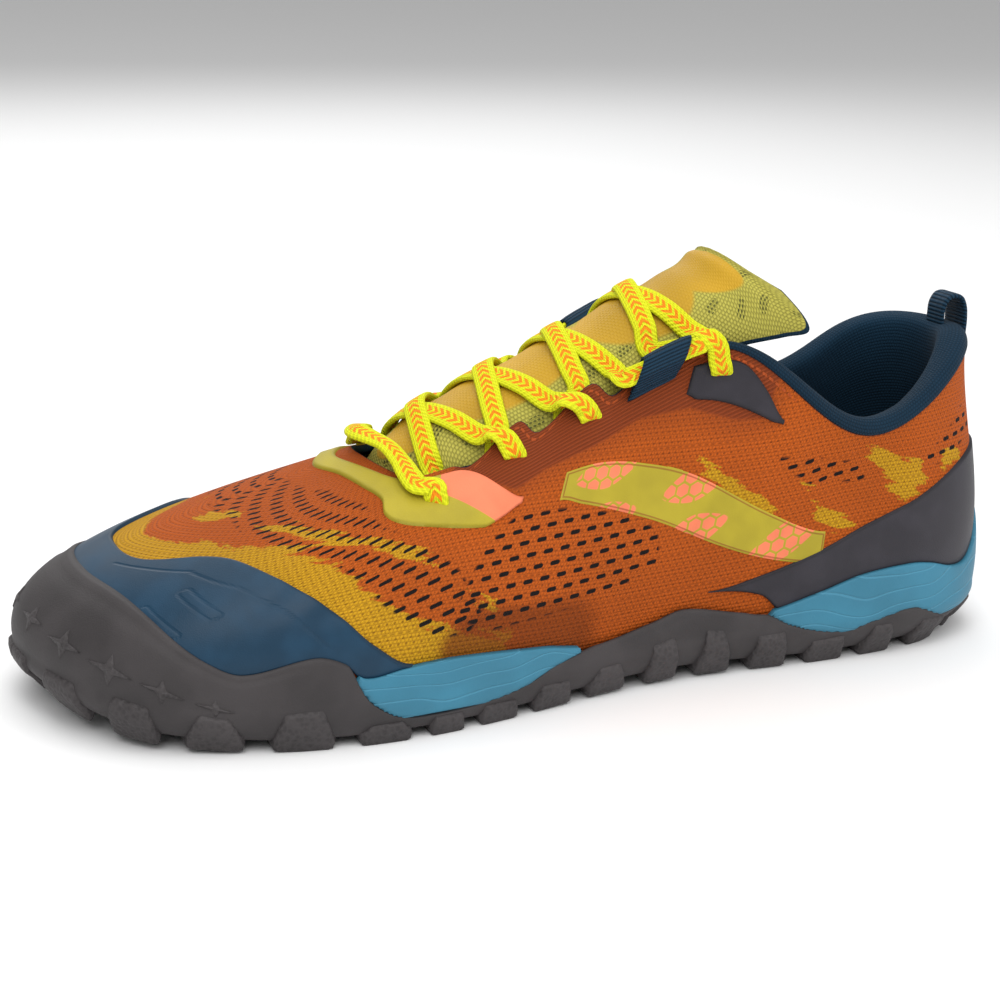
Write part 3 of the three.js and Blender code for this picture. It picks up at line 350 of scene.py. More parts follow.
def at_height(line, u, z):
    """The point of each rising line at a height, by halving the span again and again."""
    low, high = np.full_like(u, -0.2), np.ones_like(u)
    for _ in range(26):
        t = (low + high) / 2
        under = line(u, t)[..., 2] < z
        low, high = np.where(under, t, low), np.where(under, high, t)
    point = line(u, low)
    point[..., 2] = z
    return point


def on_side(u, side):
    """A station of the outer side, or the one across from it on the inner side."""
    return u if side < 0 else STATIONS - u


# How meshes are written


def write_mesh(name, points, faces, uv=None, fields=None):
    """Puts points (millimetres) and faces into a mesh, with a UV map and point values."""
    mesh = bpy.data.meshes.new(name)
    mesh.from_pydata(((points + SHIFT) * 0.001).tolist(), [], faces.tolist())
    if uv is not None:
        mesh.uv_layers.new(name="cloth").data.foreach_set("uv", uv.reshape(-1).astype(np.float32))
    for key, values in (fields or {}).items():
        attribute = mesh.attributes.new(key, "FLOAT", "POINT")
        attribute.data.foreach_set("value", values.reshape(-1).astype(np.float32))
    mesh.polygons.foreach_set("use_smooth", [True] * len(mesh.polygons))
    mesh.update()
    made = bpy.data.objects.new(name, mesh)
    bpy.context.scene.collection.objects.link(made)
    return made


def grid_faces(n, m, wrap_n=False, wrap_m=False, flip=False):
    """Four-sided faces between the points of a grid, numbered row by row."""
    i = np.arange(n if wrap_n else n - 1)[:, None]
    j = np.arange(m if wrap_m else m - 1)[None, :]
    i2, j2 = (i + 1) % n, (j + 1) % m
    quad = np.stack(np.broadcast_arrays(i * m + j, i2 * m + j, i2 * m + j2, i * m + j2), -1).reshape(-1, 4)
    return quad[:, ::-1] if flip else quad


def grid_uv(n, m, wrap_n, wrap_m, uv, flip=False):
    """UV values for each face corner from an array that has one more row where it wraps."""
    i = np.arange(n if wrap_n else n - 1)[:, None]
    j = np.arange(m if wrap_m else m - 1)[None, :]
    corner = np.stack([uv[i, j], uv[i + 1, j], uv[i + 1, j + 1], uv[i, j + 1]], 2).reshape(-1, 4, 2)
    return corner[:, ::-1] if flip else corner


def surface(name, points, wrap_n=False, wrap_m=False, uv=None, fields=None, flip=False):
    """A mesh from a grid of points. Its UV map is in millimetres along and across."""
    n, m = points.shape[:2]
    if uv is None:
        along = np.zeros((n + 1, m + 1))
        across = np.zeros((n + 1, m + 1))
        loop = np.concatenate([points, points[:1]], 0)
        loop = np.concatenate([loop, loop[:, :1]], 1)
        along[1:, :] = np.cumsum(np.linalg.norm(np.diff(loop, axis=0), axis=-1), 0).mean(1, keepdims=True)
        across[:, 1:] = np.cumsum(np.linalg.norm(np.diff(loop, axis=1), axis=-1), 1)
        uv = np.stack([along, across], -1)
    faces = grid_faces(n, m, wrap_n, wrap_m, flip)
    return write_mesh(name, points.reshape(-1, 3), faces, grid_uv(n, m, wrap_n, wrap_m, uv, flip), fields)


def join_grids(name, grids, flip=False):
    """Several grids of points of one size as one mesh."""
    grids = np.asarray(grids)
    k, n, m = grids.shape[:3]
    quads = grid_faces(n, m, flip=flip)
    faces = (np.arange(k)[:, None, None] * n * m + quads[None]).reshape(-1, 4)
    return write_mesh(name, grids.reshape(-1, 3), faces)


def finish(made, material, node):
    """Gives a piece its material, the CAD node that it replaces and its body."""
    made.data.materials.append(material)
    if node:
        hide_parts(node)
    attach(made, "root")
    return made


# How materials are put together


class Nodes:
    """Adds nodes to a tree and links what they are given."""

    def __init__(self, tree):
        self.tree = tree

    def add(self, kind, **settings):
        node = self.tree.nodes.new(kind)
        for key, value in settings.items():
            setattr(node, key, value)
        return node

    def feed(self, socket, value):
        if isinstance(value, bpy.types.NodeSocket):
            self.tree.links.new(value, socket)
        elif value is not None:
            socket.default_value = value

    def math(self, op, a, b=None):
        node = self.add("ShaderNodeMath", operation=op)
        for socket, value in zip(node.inputs, (a, b)):
            self.feed(socket, value)
        return node.outputs[0]

    def step(self, value, low, high):
        node = self.add("ShaderNodeMapRange", interpolation_type="SMOOTHSTEP")
        for socket, given in zip(node.inputs, (value, low, high, 0.0, 1.0)):
            self.feed(socket, given)
        return node.outputs[0]

    def mix(self, share, a, b):
        node = self.add("ShaderNodeMix", data_type="RGBA")
        self.feed(node.inputs[0], share)
        self.feed(node.inputs[6], a)
        self.feed(node.inputs[7], b)
        return node.outputs[2]

    def field(self, name):
        return self.add("ShaderNodeAttribute", attribute_name=name).outputs["Fac"]

    def cloth(self):
        return self.add("ShaderNodeUVMap", uv_map="cloth").outputs[0]

    def place(self):
        return self.add("ShaderNodeTexCoord").outputs["Object"]

    def split(self, vector):
        node = self.add("ShaderNodeSeparateXYZ")
        self.feed(node.inputs[0], vector)
        return node.outputs[0], node.outputs[1], node.outputs[2]

    def turned(self, vector, degrees=0.0, scale=(1, 1, 1)):
        """A flat pattern's place turned about the wall's normal and stretched."""
        node = self.add("ShaderNodeMapping")
        self.feed(node.inputs[0], vector)
        node.inputs["Rotation"].default_value = (0, 0, math.radians(degrees))
        node.inputs["Scale"].default_value = scale
        return node.outputs[0]

    def times(self, *values):
        return functools.reduce(lambda a, b: self.math("MULTIPLY", a, b), values)

    def plus(self, *values):
        return functools.reduce(lambda a, b: self.math("ADD", a, b), values)

    def wave(self, value, length):
        """A sine that repeats after a length."""
        return self.math("SINE", self.times(value, TAU / length))

    def bars(self, value, length):
        """Round ribs, one for each length."""
        return self.math("ABSOLUTE", self.math("SINE", self.times(value, math.pi / length)))

    def less(self, a, b):
        return self.math("SUBTRACT", a, b)

    def noise(self, vector, scale, detail=2.0, rough=0.5):
        node = self.add("ShaderNodeTexNoise")
        self.feed(node.inputs["Vector"], vector)
        for key, value in (("Scale", scale), ("Detail", detail), ("Roughness", rough)):
            self.feed(node.inputs[key], value)
        return node.outputs[0]

    def group(self, name, **values):
        node = self.add("ShaderNodeGroup")
        node.node_tree = bpy.data.node_groups[name]
        for key, value in values.items():
            self.feed(node.inputs[key.replace("_", " ")], value)
        return node.outputs

    def bump(self, height, strength, distance):
        node = self.add("ShaderNodeBump")
        node.inputs["Strength"].default_value = strength
        node.inputs["Distance"].default_value = distance
        self.feed(node.inputs["Height"], height)
        return node.outputs[0]


def node_group(name, inputs, outputs, fill):
    """A shader node group with named sockets, made once and filled by a function."""
    tree = bpy.data.node_groups.get(name)
    if tree:
        return tree
    tree = bpy.data.node_groups.new(name, "ShaderNodeTree")
    for key, kind in inputs:
        tree.interface.new_socket(name=key, in_out="INPUT", socket_type=kind)
    for key in outputs:
        tree.interface.new_socket(name=key, in_out="OUTPUT", socket_type="NodeSocketFloat")
    n = Nodes(tree)
    given = n.add("NodeGroupInput").outputs
    result = n.add("NodeGroupOutput").inputs
    for key, socket in fill(n, given).items():
        tree.links.new(socket, result[key])
    return tree


VECTOR, NUMBER = "NodeSocketVector", "NodeSocketFloat"


def knit_nodes(n, given):
    """Rows of knitted loops: the product of two waves, every other row half a loop along."""
    x, y, _ = n.split(given["Cloth"])
    row = n.math("DIVIDE", y, given["Pitch"])
    odd = n.math("MODULO", n.math("FLOOR", row), 2.0)
    col = n.math("ADD", n.math("DIVIDE", x, given["Pitch"]), n.math("MULTIPLY", odd, 0.5))
    a = n.math("ABSOLUTE", n.math("SINE", n.math("MULTIPLY", col, math.pi)))
    b = n.math("ABSOLUTE", n.math("SINE", n.math("MULTIPLY", row, math.pi)))
    loops = n.math("MULTIPLY", n.math("POWER", a, 0.6), n.math("POWER", b, 0.6))
    fibre = n.noise(given["Cloth"], 2.2, 3.0, 0.6)
    return {"Height": n.math("ADD", loops, n.math("MULTIPLY", fibre, 0.35)), "Loops": loops}


def grain_nodes(n, given):
    """Fine grain and slow unevenness of a moulded or coated surface."""
    fine = n.noise(given["Place"], given["Scale"], 3.0, 0.6)
    slow = n.noise(given["Place"], n.math("DIVIDE", given["Scale"], 26.0), 2.0, 0.5)
    return {"Fine": fine, "Slow": slow}


def slot_nodes(n, given):
    """Short slots in rows, each row half a step along from the one before."""
    x, y, _ = n.split(given["Cloth"])
    row = n.math("DIVIDE", y, given["Row Step"])
    odd = n.math("MODULO", n.math("FLOOR", row), 2.0)
    col = n.math("ADD", n.math("DIVIDE", x, given["Step"]), n.math("MULTIPLY", odd, 0.5))
    dx = n.math("MULTIPLY", n.math("SUBTRACT", n.math("FRACT", col), 0.5), given["Step"])
    dy = n.math("MULTIPLY", n.math("SUBTRACT", n.math("FRACT", row), 0.5), given["Row Step"])
    past = n.math("MAXIMUM", n.math("SUBTRACT", n.math("ABSOLUTE", dx), given["Half Length"]), 0.0)
    away = n.math("SQRT", n.math("ADD", n.math("MULTIPLY", past, past), n.math("MULTIPLY", dy, dy)))
    return {"Hole": n.step(n.math("SUBTRACT", given["Half Width"], away), -0.12, 0.12)}


def streak_nodes(n, given):
    """Brushed streaks: long noise, broken up by short noise and by the knit's own grain."""
    long_way = n.turned(given["Cloth"], scale=(0.012, 0.11, 1.0))
    short = n.turned(given["Cloth"], scale=(0.05, 0.45, 1.0))
    a = n.noise(long_way, 1.0, 2.0, 0.55)
    b = n.noise(short, 1.0, 2.0, 0.6)
    c = n.noise(given["Cloth"], 1.1, 1.0, 0.5)
    total = n.math("ADD", n.math("MULTIPLY", a, 0.9), n.math("MULTIPLY", b, 0.55))
    return {"Streak": n.math("ADD", total, n.math("MULTIPLY", c, 0.2))}


def build_groups():
    node_group("knit loops", [("Cloth", VECTOR), ("Pitch", NUMBER)], ["Height", "Loops"], knit_nodes)
    node_group("moulded grain", [("Place", VECTOR), ("Scale", NUMBER)], ["Fine", "Slow"], grain_nodes)
    lengths = [(key, NUMBER) for key in ("Step", "Row Step", "Half Length", "Half Width")]
    node_group("slot rows", [("Cloth", VECTOR), *lengths], ["Hole"], slot_nodes)
    node_group("brushed streaks", [("Cloth", VECTOR)], ["Streak"], streak_nodes)


def material(name, fill, specular, sheen=0.0):
    """A Principled material; fill gives its colour, roughness and normal sockets."""
    found = bpy.data.materials.get(name)
    if found:
        return found
    build_groups()
    made = bpy.data.materials.new(name)
    made.use_nodes = True
    shader = made.node_tree.nodes["Principled BSDF"]
    shader.inputs["Sheen Weight"].default_value = sheen
    shader.inputs["Sheen Roughness"].default_value = 0.5
    shader.inputs["Specular IOR Level"].default_value = specular
    n = Nodes(made.node_tree)
    for key, socket in fill(n).items():
        n.feed(shader.inputs[key], socket)
    return made


def rgba(colour, share=1.0, plus=0.0):
    """A colour for a socket, darkened or lightened by a share, and lifted evenly."""
    return (*[min(1.0, c * share + plus) for c in colour[:3]], 1.0)


BLACK = (0.0, 0.0, 0.0, 1.0)


def settings():
    """The sizes and colours that a user can change."""
    scene = bpy.context.scene
    return scene.shoe_sizes, scene.shoe_colours


# Sizes and colours a user would change


def size(name, text, mm):
    """A length, given in millimetres and kept in metres."""
    return FloatProperty(name=name, description=text, default=mm * 0.001, min=0.0, unit="LENGTH", precision=5)


def shade(name, text, value):
    """A colour, in linear light."""
    return FloatVectorProperty(name=name, description=text, default=value, size=3, min=0, max=1,
                               subtype="COLOR")


class ShoeSizes(bpy.types.PropertyGroup):
    wall: size("Wall", "Thickness of the upper's wall", 2.2)
    film: size("Film", "Thickness of the welded films", 0.7)
    gap: size("Gap", "Clearance between two pieces", 0.3)
    insole: size("Insole", "Thickness of the insole", 4.0)
    tongue: size("Tongue", "Thickness of the padded tongue", 4.0)
    lace_width: size("Lace width", "Width of the flat lace", 6.4)
    lace_thickness: size("Lace thickness", "Thickness of the flat lace", 1.8)
    webbing: size("Webbing", "Thickness of the loops' webbing", 1.4)
    knit_pitch: size("Knit pitch", "Width of one loop of the knit", 1.05)


class ShoeColours(bpy.types.PropertyGroup):
    orange: shade("Orange", "The knit's main colour", (0.51, 0.098, 0.008))
    yellow: shade("Yellow", "The knit's brushed streaks", (0.60, 0.32, 0.010))
    brown: shade("Brown", "The ribbed eyestay", (0.25, 0.046, 0.010))
    # The holes' near-black is painted shade: the shaded inside of the shoe seen through them.
    hole: shade("Holes", "What shows in the knit's holes", (0.006, 0.004, 0.004))
    petrol: shade("Petrol", "The toe cap", (0.012, 0.046, 0.088))
    grey: shade("Grey", "The heel counter and eyelet patch", (0.036, 0.033, 0.041))
    olive: shade("Olive", "The film round the throat", (0.43, 0.345, 0.022))
    coral: shade("Coral", "The coral film", (0.88, 0.22, 0.105))
    navy: shade("Navy", "Collar, lining and webbing", (0.006, 0.025, 0.048))
    lime: shade("Lime", "The tongue's mesh", (0.52, 0.47, 0.088))
    print: shade("Print", "The tongue's yellow patches", (0.62, 0.34, 0.016))
    lace: shade("Lace", "The lace", (0.74, 0.77, 0.012))
    chevron: shade("Chevron", "The lace's middle threads", (0.86, 0.25, 0.008))
    foam: shade("Foam", "The foam of the midsole", (0.042, 0.20, 0.30))
    rubber: shade("Rubber", "The outsole", (0.045, 0.040, 0.041))


# Materials of the shoe


def slots(n, cloth, step, row_step, half_length, half_width, degrees=0.0):
    """Rows of slots on the cloth, in millimetres, turned by some degrees."""
    place = n.turned(cloth, degrees) if degrees else cloth
    return n.group("slot rows", Cloth=place, Step=step, Row_Step=row_step, Half_Length=half_length,
                   Half_Width=half_width)["Hole"]


def knit_material():
    sizes, colours = settings()
    orange, brown = colours.orange, colours.brown

    def fill(n):
        cloth = n.cloth()
        x, _, _ = n.split(cloth)
        eyestay, edge, inside = n.field("eyestay"), n.field("edge"), n.field("inside")
        loops = n.group("knit loops", Cloth=cloth, Pitch=sizes.knit_pitch * 1000)
        streak = n.group("brushed streaks", Cloth=n.turned(cloth, -20))["Streak"]
        feather = n.times(n.less(streak, 0.98), 14.0)
        flame = n.step(n.plus(n.field("yellow"), feather), -0.5, 0.5)
        # Painted shade low on the wall at the midfoot, where the wall curves in above the sole. This mask,
        # broken up by the streaks, mixes in the darker orange below.
        midfoot_shade = n.step(n.plus(n.field("midfoot_shade"), n.times(streak, 0.35)), 0.55, 0.95)
        tone = n.noise(n.place(), 18.0, 3.0, 0.6)
        base = n.mix(flame, rgba(orange), rgba(colours.yellow))
        base = n.mix(n.times(midfoot_shade, 0.8), base, rgba(orange, 0.42))
        # Painted shade between the knit's loops: darker where the loops are low.
        base = n.mix(n.times(n.less(1.0, loops["Loops"]), 0.42), base, rgba(orange, 0.3))
        base = n.mix(n.step(tone, 0.3, 0.75), base, n.mix(0.18, base, BLACK))

        stay = n.step(eyestay, -0.6, 0.8)
        _, across, _ = n.split(n.turned(cloth, 22))
        rib = n.wave(across, 1.25)
        # Painted shade in the hollows between the eyestay's ribs: darker where the rib wave is low.
        ribbed = n.mix(n.step(rib, -0.6, 0.9), rgba(brown, 0.72), rgba(brown))
        base = n.mix(n.times(n.step(eyestay, -9.0, 2.0), 0.55), base, rgba(brown, 0.9))
        base = n.mix(stay, base, ribbed)

        front = n.times(slots(n, cloth, 6.4, 3.5, 1.15, 0.62, 17), n.step(n.field("front_holes"), -0.6, 0.6))
        side = n.times(slots(n, cloth, 5.4, 3.6, 0.9, 0.62, 6), n.step(n.field("side_holes"), -0.6, 0.6))
        hole = n.math("MAXIMUM", front, side)
        # Painted shade in the eyestay's pores and in the knit's holes: the shaded inside of the shoe seen
        # through them.
        pore = n.times(slots(n, cloth, 2.1, 1.5, 0.1, 0.3), n.less(1.0, stay))
        base = n.mix(n.times(pore, 0.45), base, rgba(orange, 0.12))
        base = n.mix(hole, base, rgba(colours.hole))

        from_seam = n.math("ABSOLUTE", n.less(edge, 1.9))
        between = n.step(n.math("FRACT", n.math("DIVIDE", x, 2.4)), 0.62, 0.7)
        thread = n.times(n.step(from_seam, 0.5, 0.3), n.less(1.0, between), n.field("stitched"))
        base = n.mix(thread, base, rgba(brown, 1.6))
        base = n.mix(inside, base, rgba(colours.navy))

        height = n.times(loops["Height"], n.less(1.0, n.times(stay, 0.8)))
        height = n.plus(height, n.times(rib, stay, 0.8))
        height = n.plus(n.less(height, n.times(hole, 2.0)), n.times(thread, 1.4))
        rough = n.plus(0.62, n.times(loops["Loops"], 0.14))
        return {"Base Color": base, "Roughness": rough, "Normal": n.bump(height, 0.55, 0.0005)}

    return material("knit orange", fill, specular=0.15)


def cloth_material(name, colour, pitch):
    """A plain fine knit of one colour."""

    def fill(n):
        loops = n.group("knit loops", Cloth=n.cloth(), Pitch=pitch)
        tone = n.noise(n.place(), 30.0)
        # Painted shade between the loops: darker where the loops are low.
        base = n.mix(loops["Loops"], rgba(colour, 0.45), rgba(colour))
        base = n.mix(n.step(tone, 0.35, 0.75), base, n.mix(0.25, base, rgba(colour, 2.2)))
        rough = n.plus(0.7, n.times(tone, 0.2))
        return {"Base Color": base, "Roughness": rough, "Normal": n.bump(loops["Height"], 0.5, 0.0004)}

    return material(name, fill, sheen=0.04, specular=0.1)


def film_material(name, colour, rough=0.45, emboss=False):
    """A welded film with fine grain, and darker at its rim: painted shade where the film rolls down to the
    wall.
    """

    def fill(n):
        grain = n.group("moulded grain", Place=n.place(), Scale=2600.0)
        base = n.mix(n.step(grain["Slow"], 0.35, 0.7), n.mix(0.22, rgba(colour), BLACK), rgba(colour))
        # Painted shade along the rim, where the film rolls down to the wall.
        base = n.mix(n.step(n.field("rim"), 0.3, 1.6), n.mix(0.35, base, BLACK), base)
        height = n.times(grain["Fine"], 0.35)
        if emboss:
            height = n.plus(height, n.times(n.field("emboss"), -1.1))
        dull = n.plus(rough - 0.06, n.times(grain["Slow"], 0.16))
        return {"Base Color": base, "Roughness": dull, "Normal": n.bump(height, 0.5, 0.00035)}

    return material(name, fill, specular=0.22)


def printed_material(name, pattern, second, painted_rim_shade, rough, grain_share, strength):
    """A film printed in olive, with a second colour where the pattern's field is above 0.
    Either its rim is darkened as painted shade, or a brown line runs just inside it."""
    _, colours = settings()

    def fill(n):
        grain = n.group("moulded grain", Place=n.place(), Scale=2400.0)
        base = n.mix(n.step(n.field(pattern), -0.12, 0.12), rgba(colours.olive), rgba(second))
        height = n.times(grain["Fine"], grain_share)
        if painted_rim_shade:
            base = n.mix(n.step(grain["Slow"], 0.3, 0.7), n.mix(0.15, base, BLACK), base)
            # Painted shade along the rim, where the film rolls down to the wall.
            base = n.mix(n.step(n.field("rim"), 0.2, 1.2), n.mix(0.25, base, BLACK), base)
        else:
            line = n.times(n.step(n.field("rim"), 0.6, 0.75), n.step(n.field("rim"), 1.2, 1.05))
            base = n.mix(n.times(line, 0.6), base, rgba(colours.brown))
            base = n.mix(n.step(grain["Slow"], 0.3, 0.7), n.mix(0.15, base, BLACK), base)
            height = n.plus(height, n.times(line, 0.8))
        dull = n.plus(rough, n.times(grain["Slow"], 0.15))
        return {"Base Color": base, "Roughness": dull, "Normal": n.bump(height, strength, 0.0003)}

    return material(name, fill, specular=0.25)


def lace_material():
    """Woven ribs on a slant, threads along the lace, and chevrons down its middle."""
    lace, chevron = settings()[1].lace, settings()[1].chevron

    def fill(n):
        x, y, _ = n.split(n.cloth())
        off = n.math("ABSOLUTE", y)
        slant = n.plus(n.math("DIVIDE", x, 2.0), n.times(off, 0.55))
        odd = n.math("SINE", n.times(slant, TAU * 0.9))
        mark = n.times(n.step(odd, -0.35, 0.0), n.step(off, 1.7, 1.45))
        rib = n.wave(n.plus(x, n.times(off, 0.7)), 1.3)
        threads = n.math("ABSOLUTE", n.wave(y, 1.25))
        # Painted shade between the threads and in the hollows of the slanted ribs.
        base = n.mix(n.times(n.step(threads, 0.5, 0.0), 0.3), rgba(lace), rgba(lace, 0.5))
        base = n.mix(n.times(n.step(rib, 0.0, -1.0), 0.22), base, rgba(lace, 0.45))
        base = n.mix(mark, base, rgba(chevron))
        fibre = n.noise(n.place(), 2500.0, 2.0, 0.6)
        height = n.plus(n.times(rib, 0.5), n.times(threads, 0.6), n.times(fibre, 0.5))
        rough = n.plus(0.68, n.times(fibre, 0.15))
        return {"Base Color": base, "Roughness": rough, "Normal": n.bump(height, 0.6, 0.0005)}

    return material("flat woven lace", fill, specular=0.2)


def webbing_material():
    """Ribs across the tape and finer threads along it."""
    navy = settings()[1].navy

    def fill(n):
        x, y, _ = n.split(n.cloth())
        rib, thread = n.bars(x, 1.1), n.bars(y, 0.7)
        # Painted highlight on the ribs' tops and painted shade in the hollows between them.
        base = n.mix(rib, rgba(navy, 0.4), rgba(navy, 1.5))
        height = n.plus(rib, n.times(thread, 0.25))
        rough = n.plus(0.55, n.times(thread, 0.15))
        return {"Base Color": base, "Roughness": rough, "Normal": n.bump(height, 0.7, 0.0005)}

    return material("ribbed webbing", fill, specular=0.15)


def tongue_material():
    """Spacer mesh with clusters of small holes, printed patches and a navy back."""
    _, colours = settings()
    lime, print_colour = colours.lime, colours.print

    def fill(n):
        cloth = n.cloth()
        loops = n.group("knit loops", Cloth=cloth, Pitch=1.1)
        tone = n.noise(n.place(), 25.0)
        small = slots(n, cloth, 1.25, 1.15, 0.12, 0.3)
        clusters = slots(n, cloth, 11.0, 9.0, 1.1, 1.5, 8)
        printed = n.step(n.plus(n.field("print"), n.times(n.less(tone, 0.5), 1.2)), -0.1, 0.12)
        hole = n.times(small, clusters, n.less(1.0, printed))
        ink = n.mix(n.step(tone, 0.4, 0.7), rgba(print_colour), rgba(print_colour, 0.72))
        # Painted shade between the mesh's loops, over the hole clusters and in the holes.
        base = n.mix(loops["Loops"], rgba(lime, 0.5), rgba(lime))
        base = n.mix(n.times(clusters, 0.12), base, rgba(lime, 0.4))
        base = n.mix(n.times(hole, 0.85), base, (0.05, 0.06, 0.02, 1))
        base = n.mix(n.times(printed, 0.9), base, ink)
        base = n.mix(n.step(n.field("border"), 0.25, 0.4), base, rgba(colours.navy))
        height = n.less(n.times(loops["Height"], n.less(1.0, n.times(printed, 0.6))), hole)
        rough = n.less(0.78, n.times(printed, 0.3))
        return {"Base Color": base, "Roughness": rough, "Normal": n.bump(height, 0.5, 0.0005)}

    return material("lime spacer mesh", fill, specular=0.15)


def foam_material():
    """Moulded foam with fine contour lines cut into it, that bend with a slow noise."""
    foam = settings()[1].foam

    def fill(n):
        place = n.place()
        grain = n.group("moulded grain", Place=place, Scale=1500.0)
        _, _, z = n.split(place)
        rise = n.plus(n.times(z, 330.0), n.times(n.noise(place, 28.0, 1.0, 0.4), 9.0))
        cut = n.step(n.math("ABSOLUTE", n.math("SINE", n.times(rise, 2.1))), 0.26, 0.08)
        base = n.mix(n.step(grain["Slow"], 0.3, 0.7), rgba(foam, 0.84), rgba(foam))
        # The cut contour lines are painted lighter: a painted highlight along the grooves.
        base = n.mix(n.times(cut, 0.35), base, rgba(foam, 1.5, 0.03))
        height = n.less(n.times(grain["Fine"], 0.25), cut)
        rough = n.plus(0.42, n.times(grain["Slow"], 0.2))
        return {"Base Color": base, "Roughness": rough, "Normal": n.bump(height, 0.5, 0.0006)}

    return material("blue foam", fill, specular=0.3)


def rubber_material():
    """Matt rubber; where the field says textured it has a coarse pebbled face."""
    rubber = settings()[1].rubber

    def fill(n):
        place, coarse = n.place(), n.field("textured")
        grain = n.group("moulded grain", Place=place, Scale=1900.0)
        pebble = n.add("ShaderNodeTexVoronoi", feature="F1")
        n.feed(pebble.inputs["Vector"], place)
        pebble.inputs["Scale"].default_value = 700.0
        cell = pebble.outputs["Distance"]
        base = n.mix(n.step(grain["Slow"], 0.3, 0.7), rgba(rubber, 0.8), rgba(rubber, 1.1))
        # Painted highlight: the raised pebbles of the textured rubber are lighter.
        base = n.mix(n.times(n.step(cell, 0.2, 0.6), n.times(coarse, 0.25)), base, rgba(rubber, 1.9))
        height = n.plus(n.times(grain["Fine"], 0.3), n.times(cell, coarse, 1.2))
        rough = n.plus(0.5, n.times(grain["Slow"], 0.2))
        return {"Base Color": base, "Roughness": rough, "Normal": n.bump(height, 0.55, 0.0006)}

    return material("charcoal rubber", fill, specular=0.3)


# Shapes of the shoe


def round_the_shoe(count):
    return np.arange(count) * STATIONS / count


def spread(u):
    """Millimetres along the shoe at a station, halfway up the wall."""
    fine = np.linspace(0, STATIONS, 1761)
    line = face(fine, np.full_like(fine, 0.4))
    length = np.concatenate([[0], np.cumsum(np.linalg.norm(np.diff(line, axis=0), axis=-1))])
    return np.interp(u, fine, length)


def wall_height(u):
    """The wall's height along its face, in millimetres."""
    v = np.linspace(0, 1, 33)[None, :]
    line = face(np.asarray(u, float)[:, None], v)
    return np.linalg.norm(np.diff(line, axis=1), axis=-1).sum(1)


def flat_place(u, v):
    """A point of the outer side laid flat, in millimetres: along the shoe and up the wall."""
    u, v = np.asarray(u, float), np.asarray(v, float)
    w = from_heel(u)
    return np.stack([spread(w), v * wall_height(w.reshape(-1)).reshape(w.shape)], -1)


def inside_by(points, corners):
    """How far each point lies inside a polygon, by the nearest side; negative outside."""
    a = corners
    b = np.roll(corners, -1, 0)
    p = points[..., None, :]
    d = b - a
    t = np.clip(((p - a) * d).sum(-1) / np.maximum((d * d).sum(-1), 1e-9), 0, 1)
    near = np.sqrt((((p - a) - t[..., None] * d) ** 2).sum(-1).min(-1))
    above = (a[:, 1] > p[..., 1]) != (b[:, 1] > p[..., 1])
    cross = a[:, 0] + (p[..., 1] - a[:, 1]) * d[:, 0] / np.where(np.abs(d[:, 1]) < 1e-9, 1e-9, d[:, 1])
    odd = (above & (p[..., 0] < cross)).sum(-1) % 2 == 1
    return np.where(odd, near, -near)


def zone(points, corners):
    """How far inside a zone each flat place is; a zone that reaches the toe runs on past it."""
    corners = np.array(corners, float)
    flat = flat_place(corners[:, 0], corners[:, 1])
    flat[corners[:, 0] >= TOE, 0] += 12
    return inside_by(points, flat)


# Zones of the upper as station and share up the wall, on both sides alike.
EYESTAY = [[7.72, 1.2], [7.62, 0.93], [7.3, 0.84], [6.82, 0.71], [6.58, 0.755], [6.14, 0.775], [5.71, 0.815],
           [5.17, 0.805], [4.6, 0.79], [4.3, 0.84], [4.15, 1.2]]
FRONT_HOLES = [[11.3, 0.90], [11.3, 0.74], [10.4, 0.72], [9.7, 0.66], [9.2, 0.64], [8.7, 0.60], [8.3, 0.50],
               [7.9, 0.34], [7.4, 0.18], [7.0, 0.16], [6.9, 0.24], [7.2, 0.42], [7.6, 0.58], [8.2, 0.72],
               [8.7, 0.85], [9.6, 0.88]]
SIDE_HOLES = [[7.0, 0.50], [6.75, 0.60], [6.2, 0.56], [5.6, 0.48], [5.2, 0.40], [5.1, 0.28], [5.6, 0.20],
              [6.2, 0.18], [6.8, 0.16], [7.2, 0.24]]
HEEL_HOLES = [[2.9, 0.72], [3.6, 0.66], [4.1, 0.72], [3.6, 0.80], [3.0, 0.84]]
REAR_HOLES = [[0.9, 0.66], [1.9, 0.64], [2.2, 0.72], [1.2, 0.80]]
# Zones of yellow knit as station and share up the wall: round the toe cap, at the toe's top,
# below the front holes, under the eyelets, and three at the heel.
YELLOWS = [
    [[11, 0.40], [11, 0.58], [10.17, 0.66], [9.21, 0.685], [8.43, 0.59], [7.93, 0.42], [7.52, 0.27],
     [6.97, 0.2], [6.5, 0.16], [6.5, -0.1], [7.6, -0.1], [8.3, 0.1], [9.2, 0.3]],
    [[11, 0.61], [11, 0.67], [10.45, 0.74], [10.17, 0.82], [10.27, 0.75], [10.5, 0.69]],
    [[10.08, 0.71], [9.44, 0.75], [8.85, 0.75], [8.16, 0.69], [7.7, 0.6], [7.24, 0.47], [6.69, 0.28],
     [6.78, 0.24], [7.33, 0.37], [7.88, 0.5], [8.52, 0.63], [9.44, 0.69]],
    [[5.22, 0.71], [4.95, 0.69], [4.45, 0.61], [3.99, 0.54], [3.85, 0.47], [4.45, 0.49], [4.86, 0.59]],
    [[3.8, 0.70], [3.48, 0.64], [3.07, 0.53], [2.84, 0.45], [3.2, 0.37], [3.48, 0.46]],
    [[3.1, 0.93], [2.7, 0.95], [2.38, 0.82], [2.11, 0.78], [2.0, 0.55], [2.4, 0.47], [2.75, 0.7]],
    [[1.9, 0.74], [1.38, 0.68], [1.3, 0.57], [1.95, 0.53]],
]


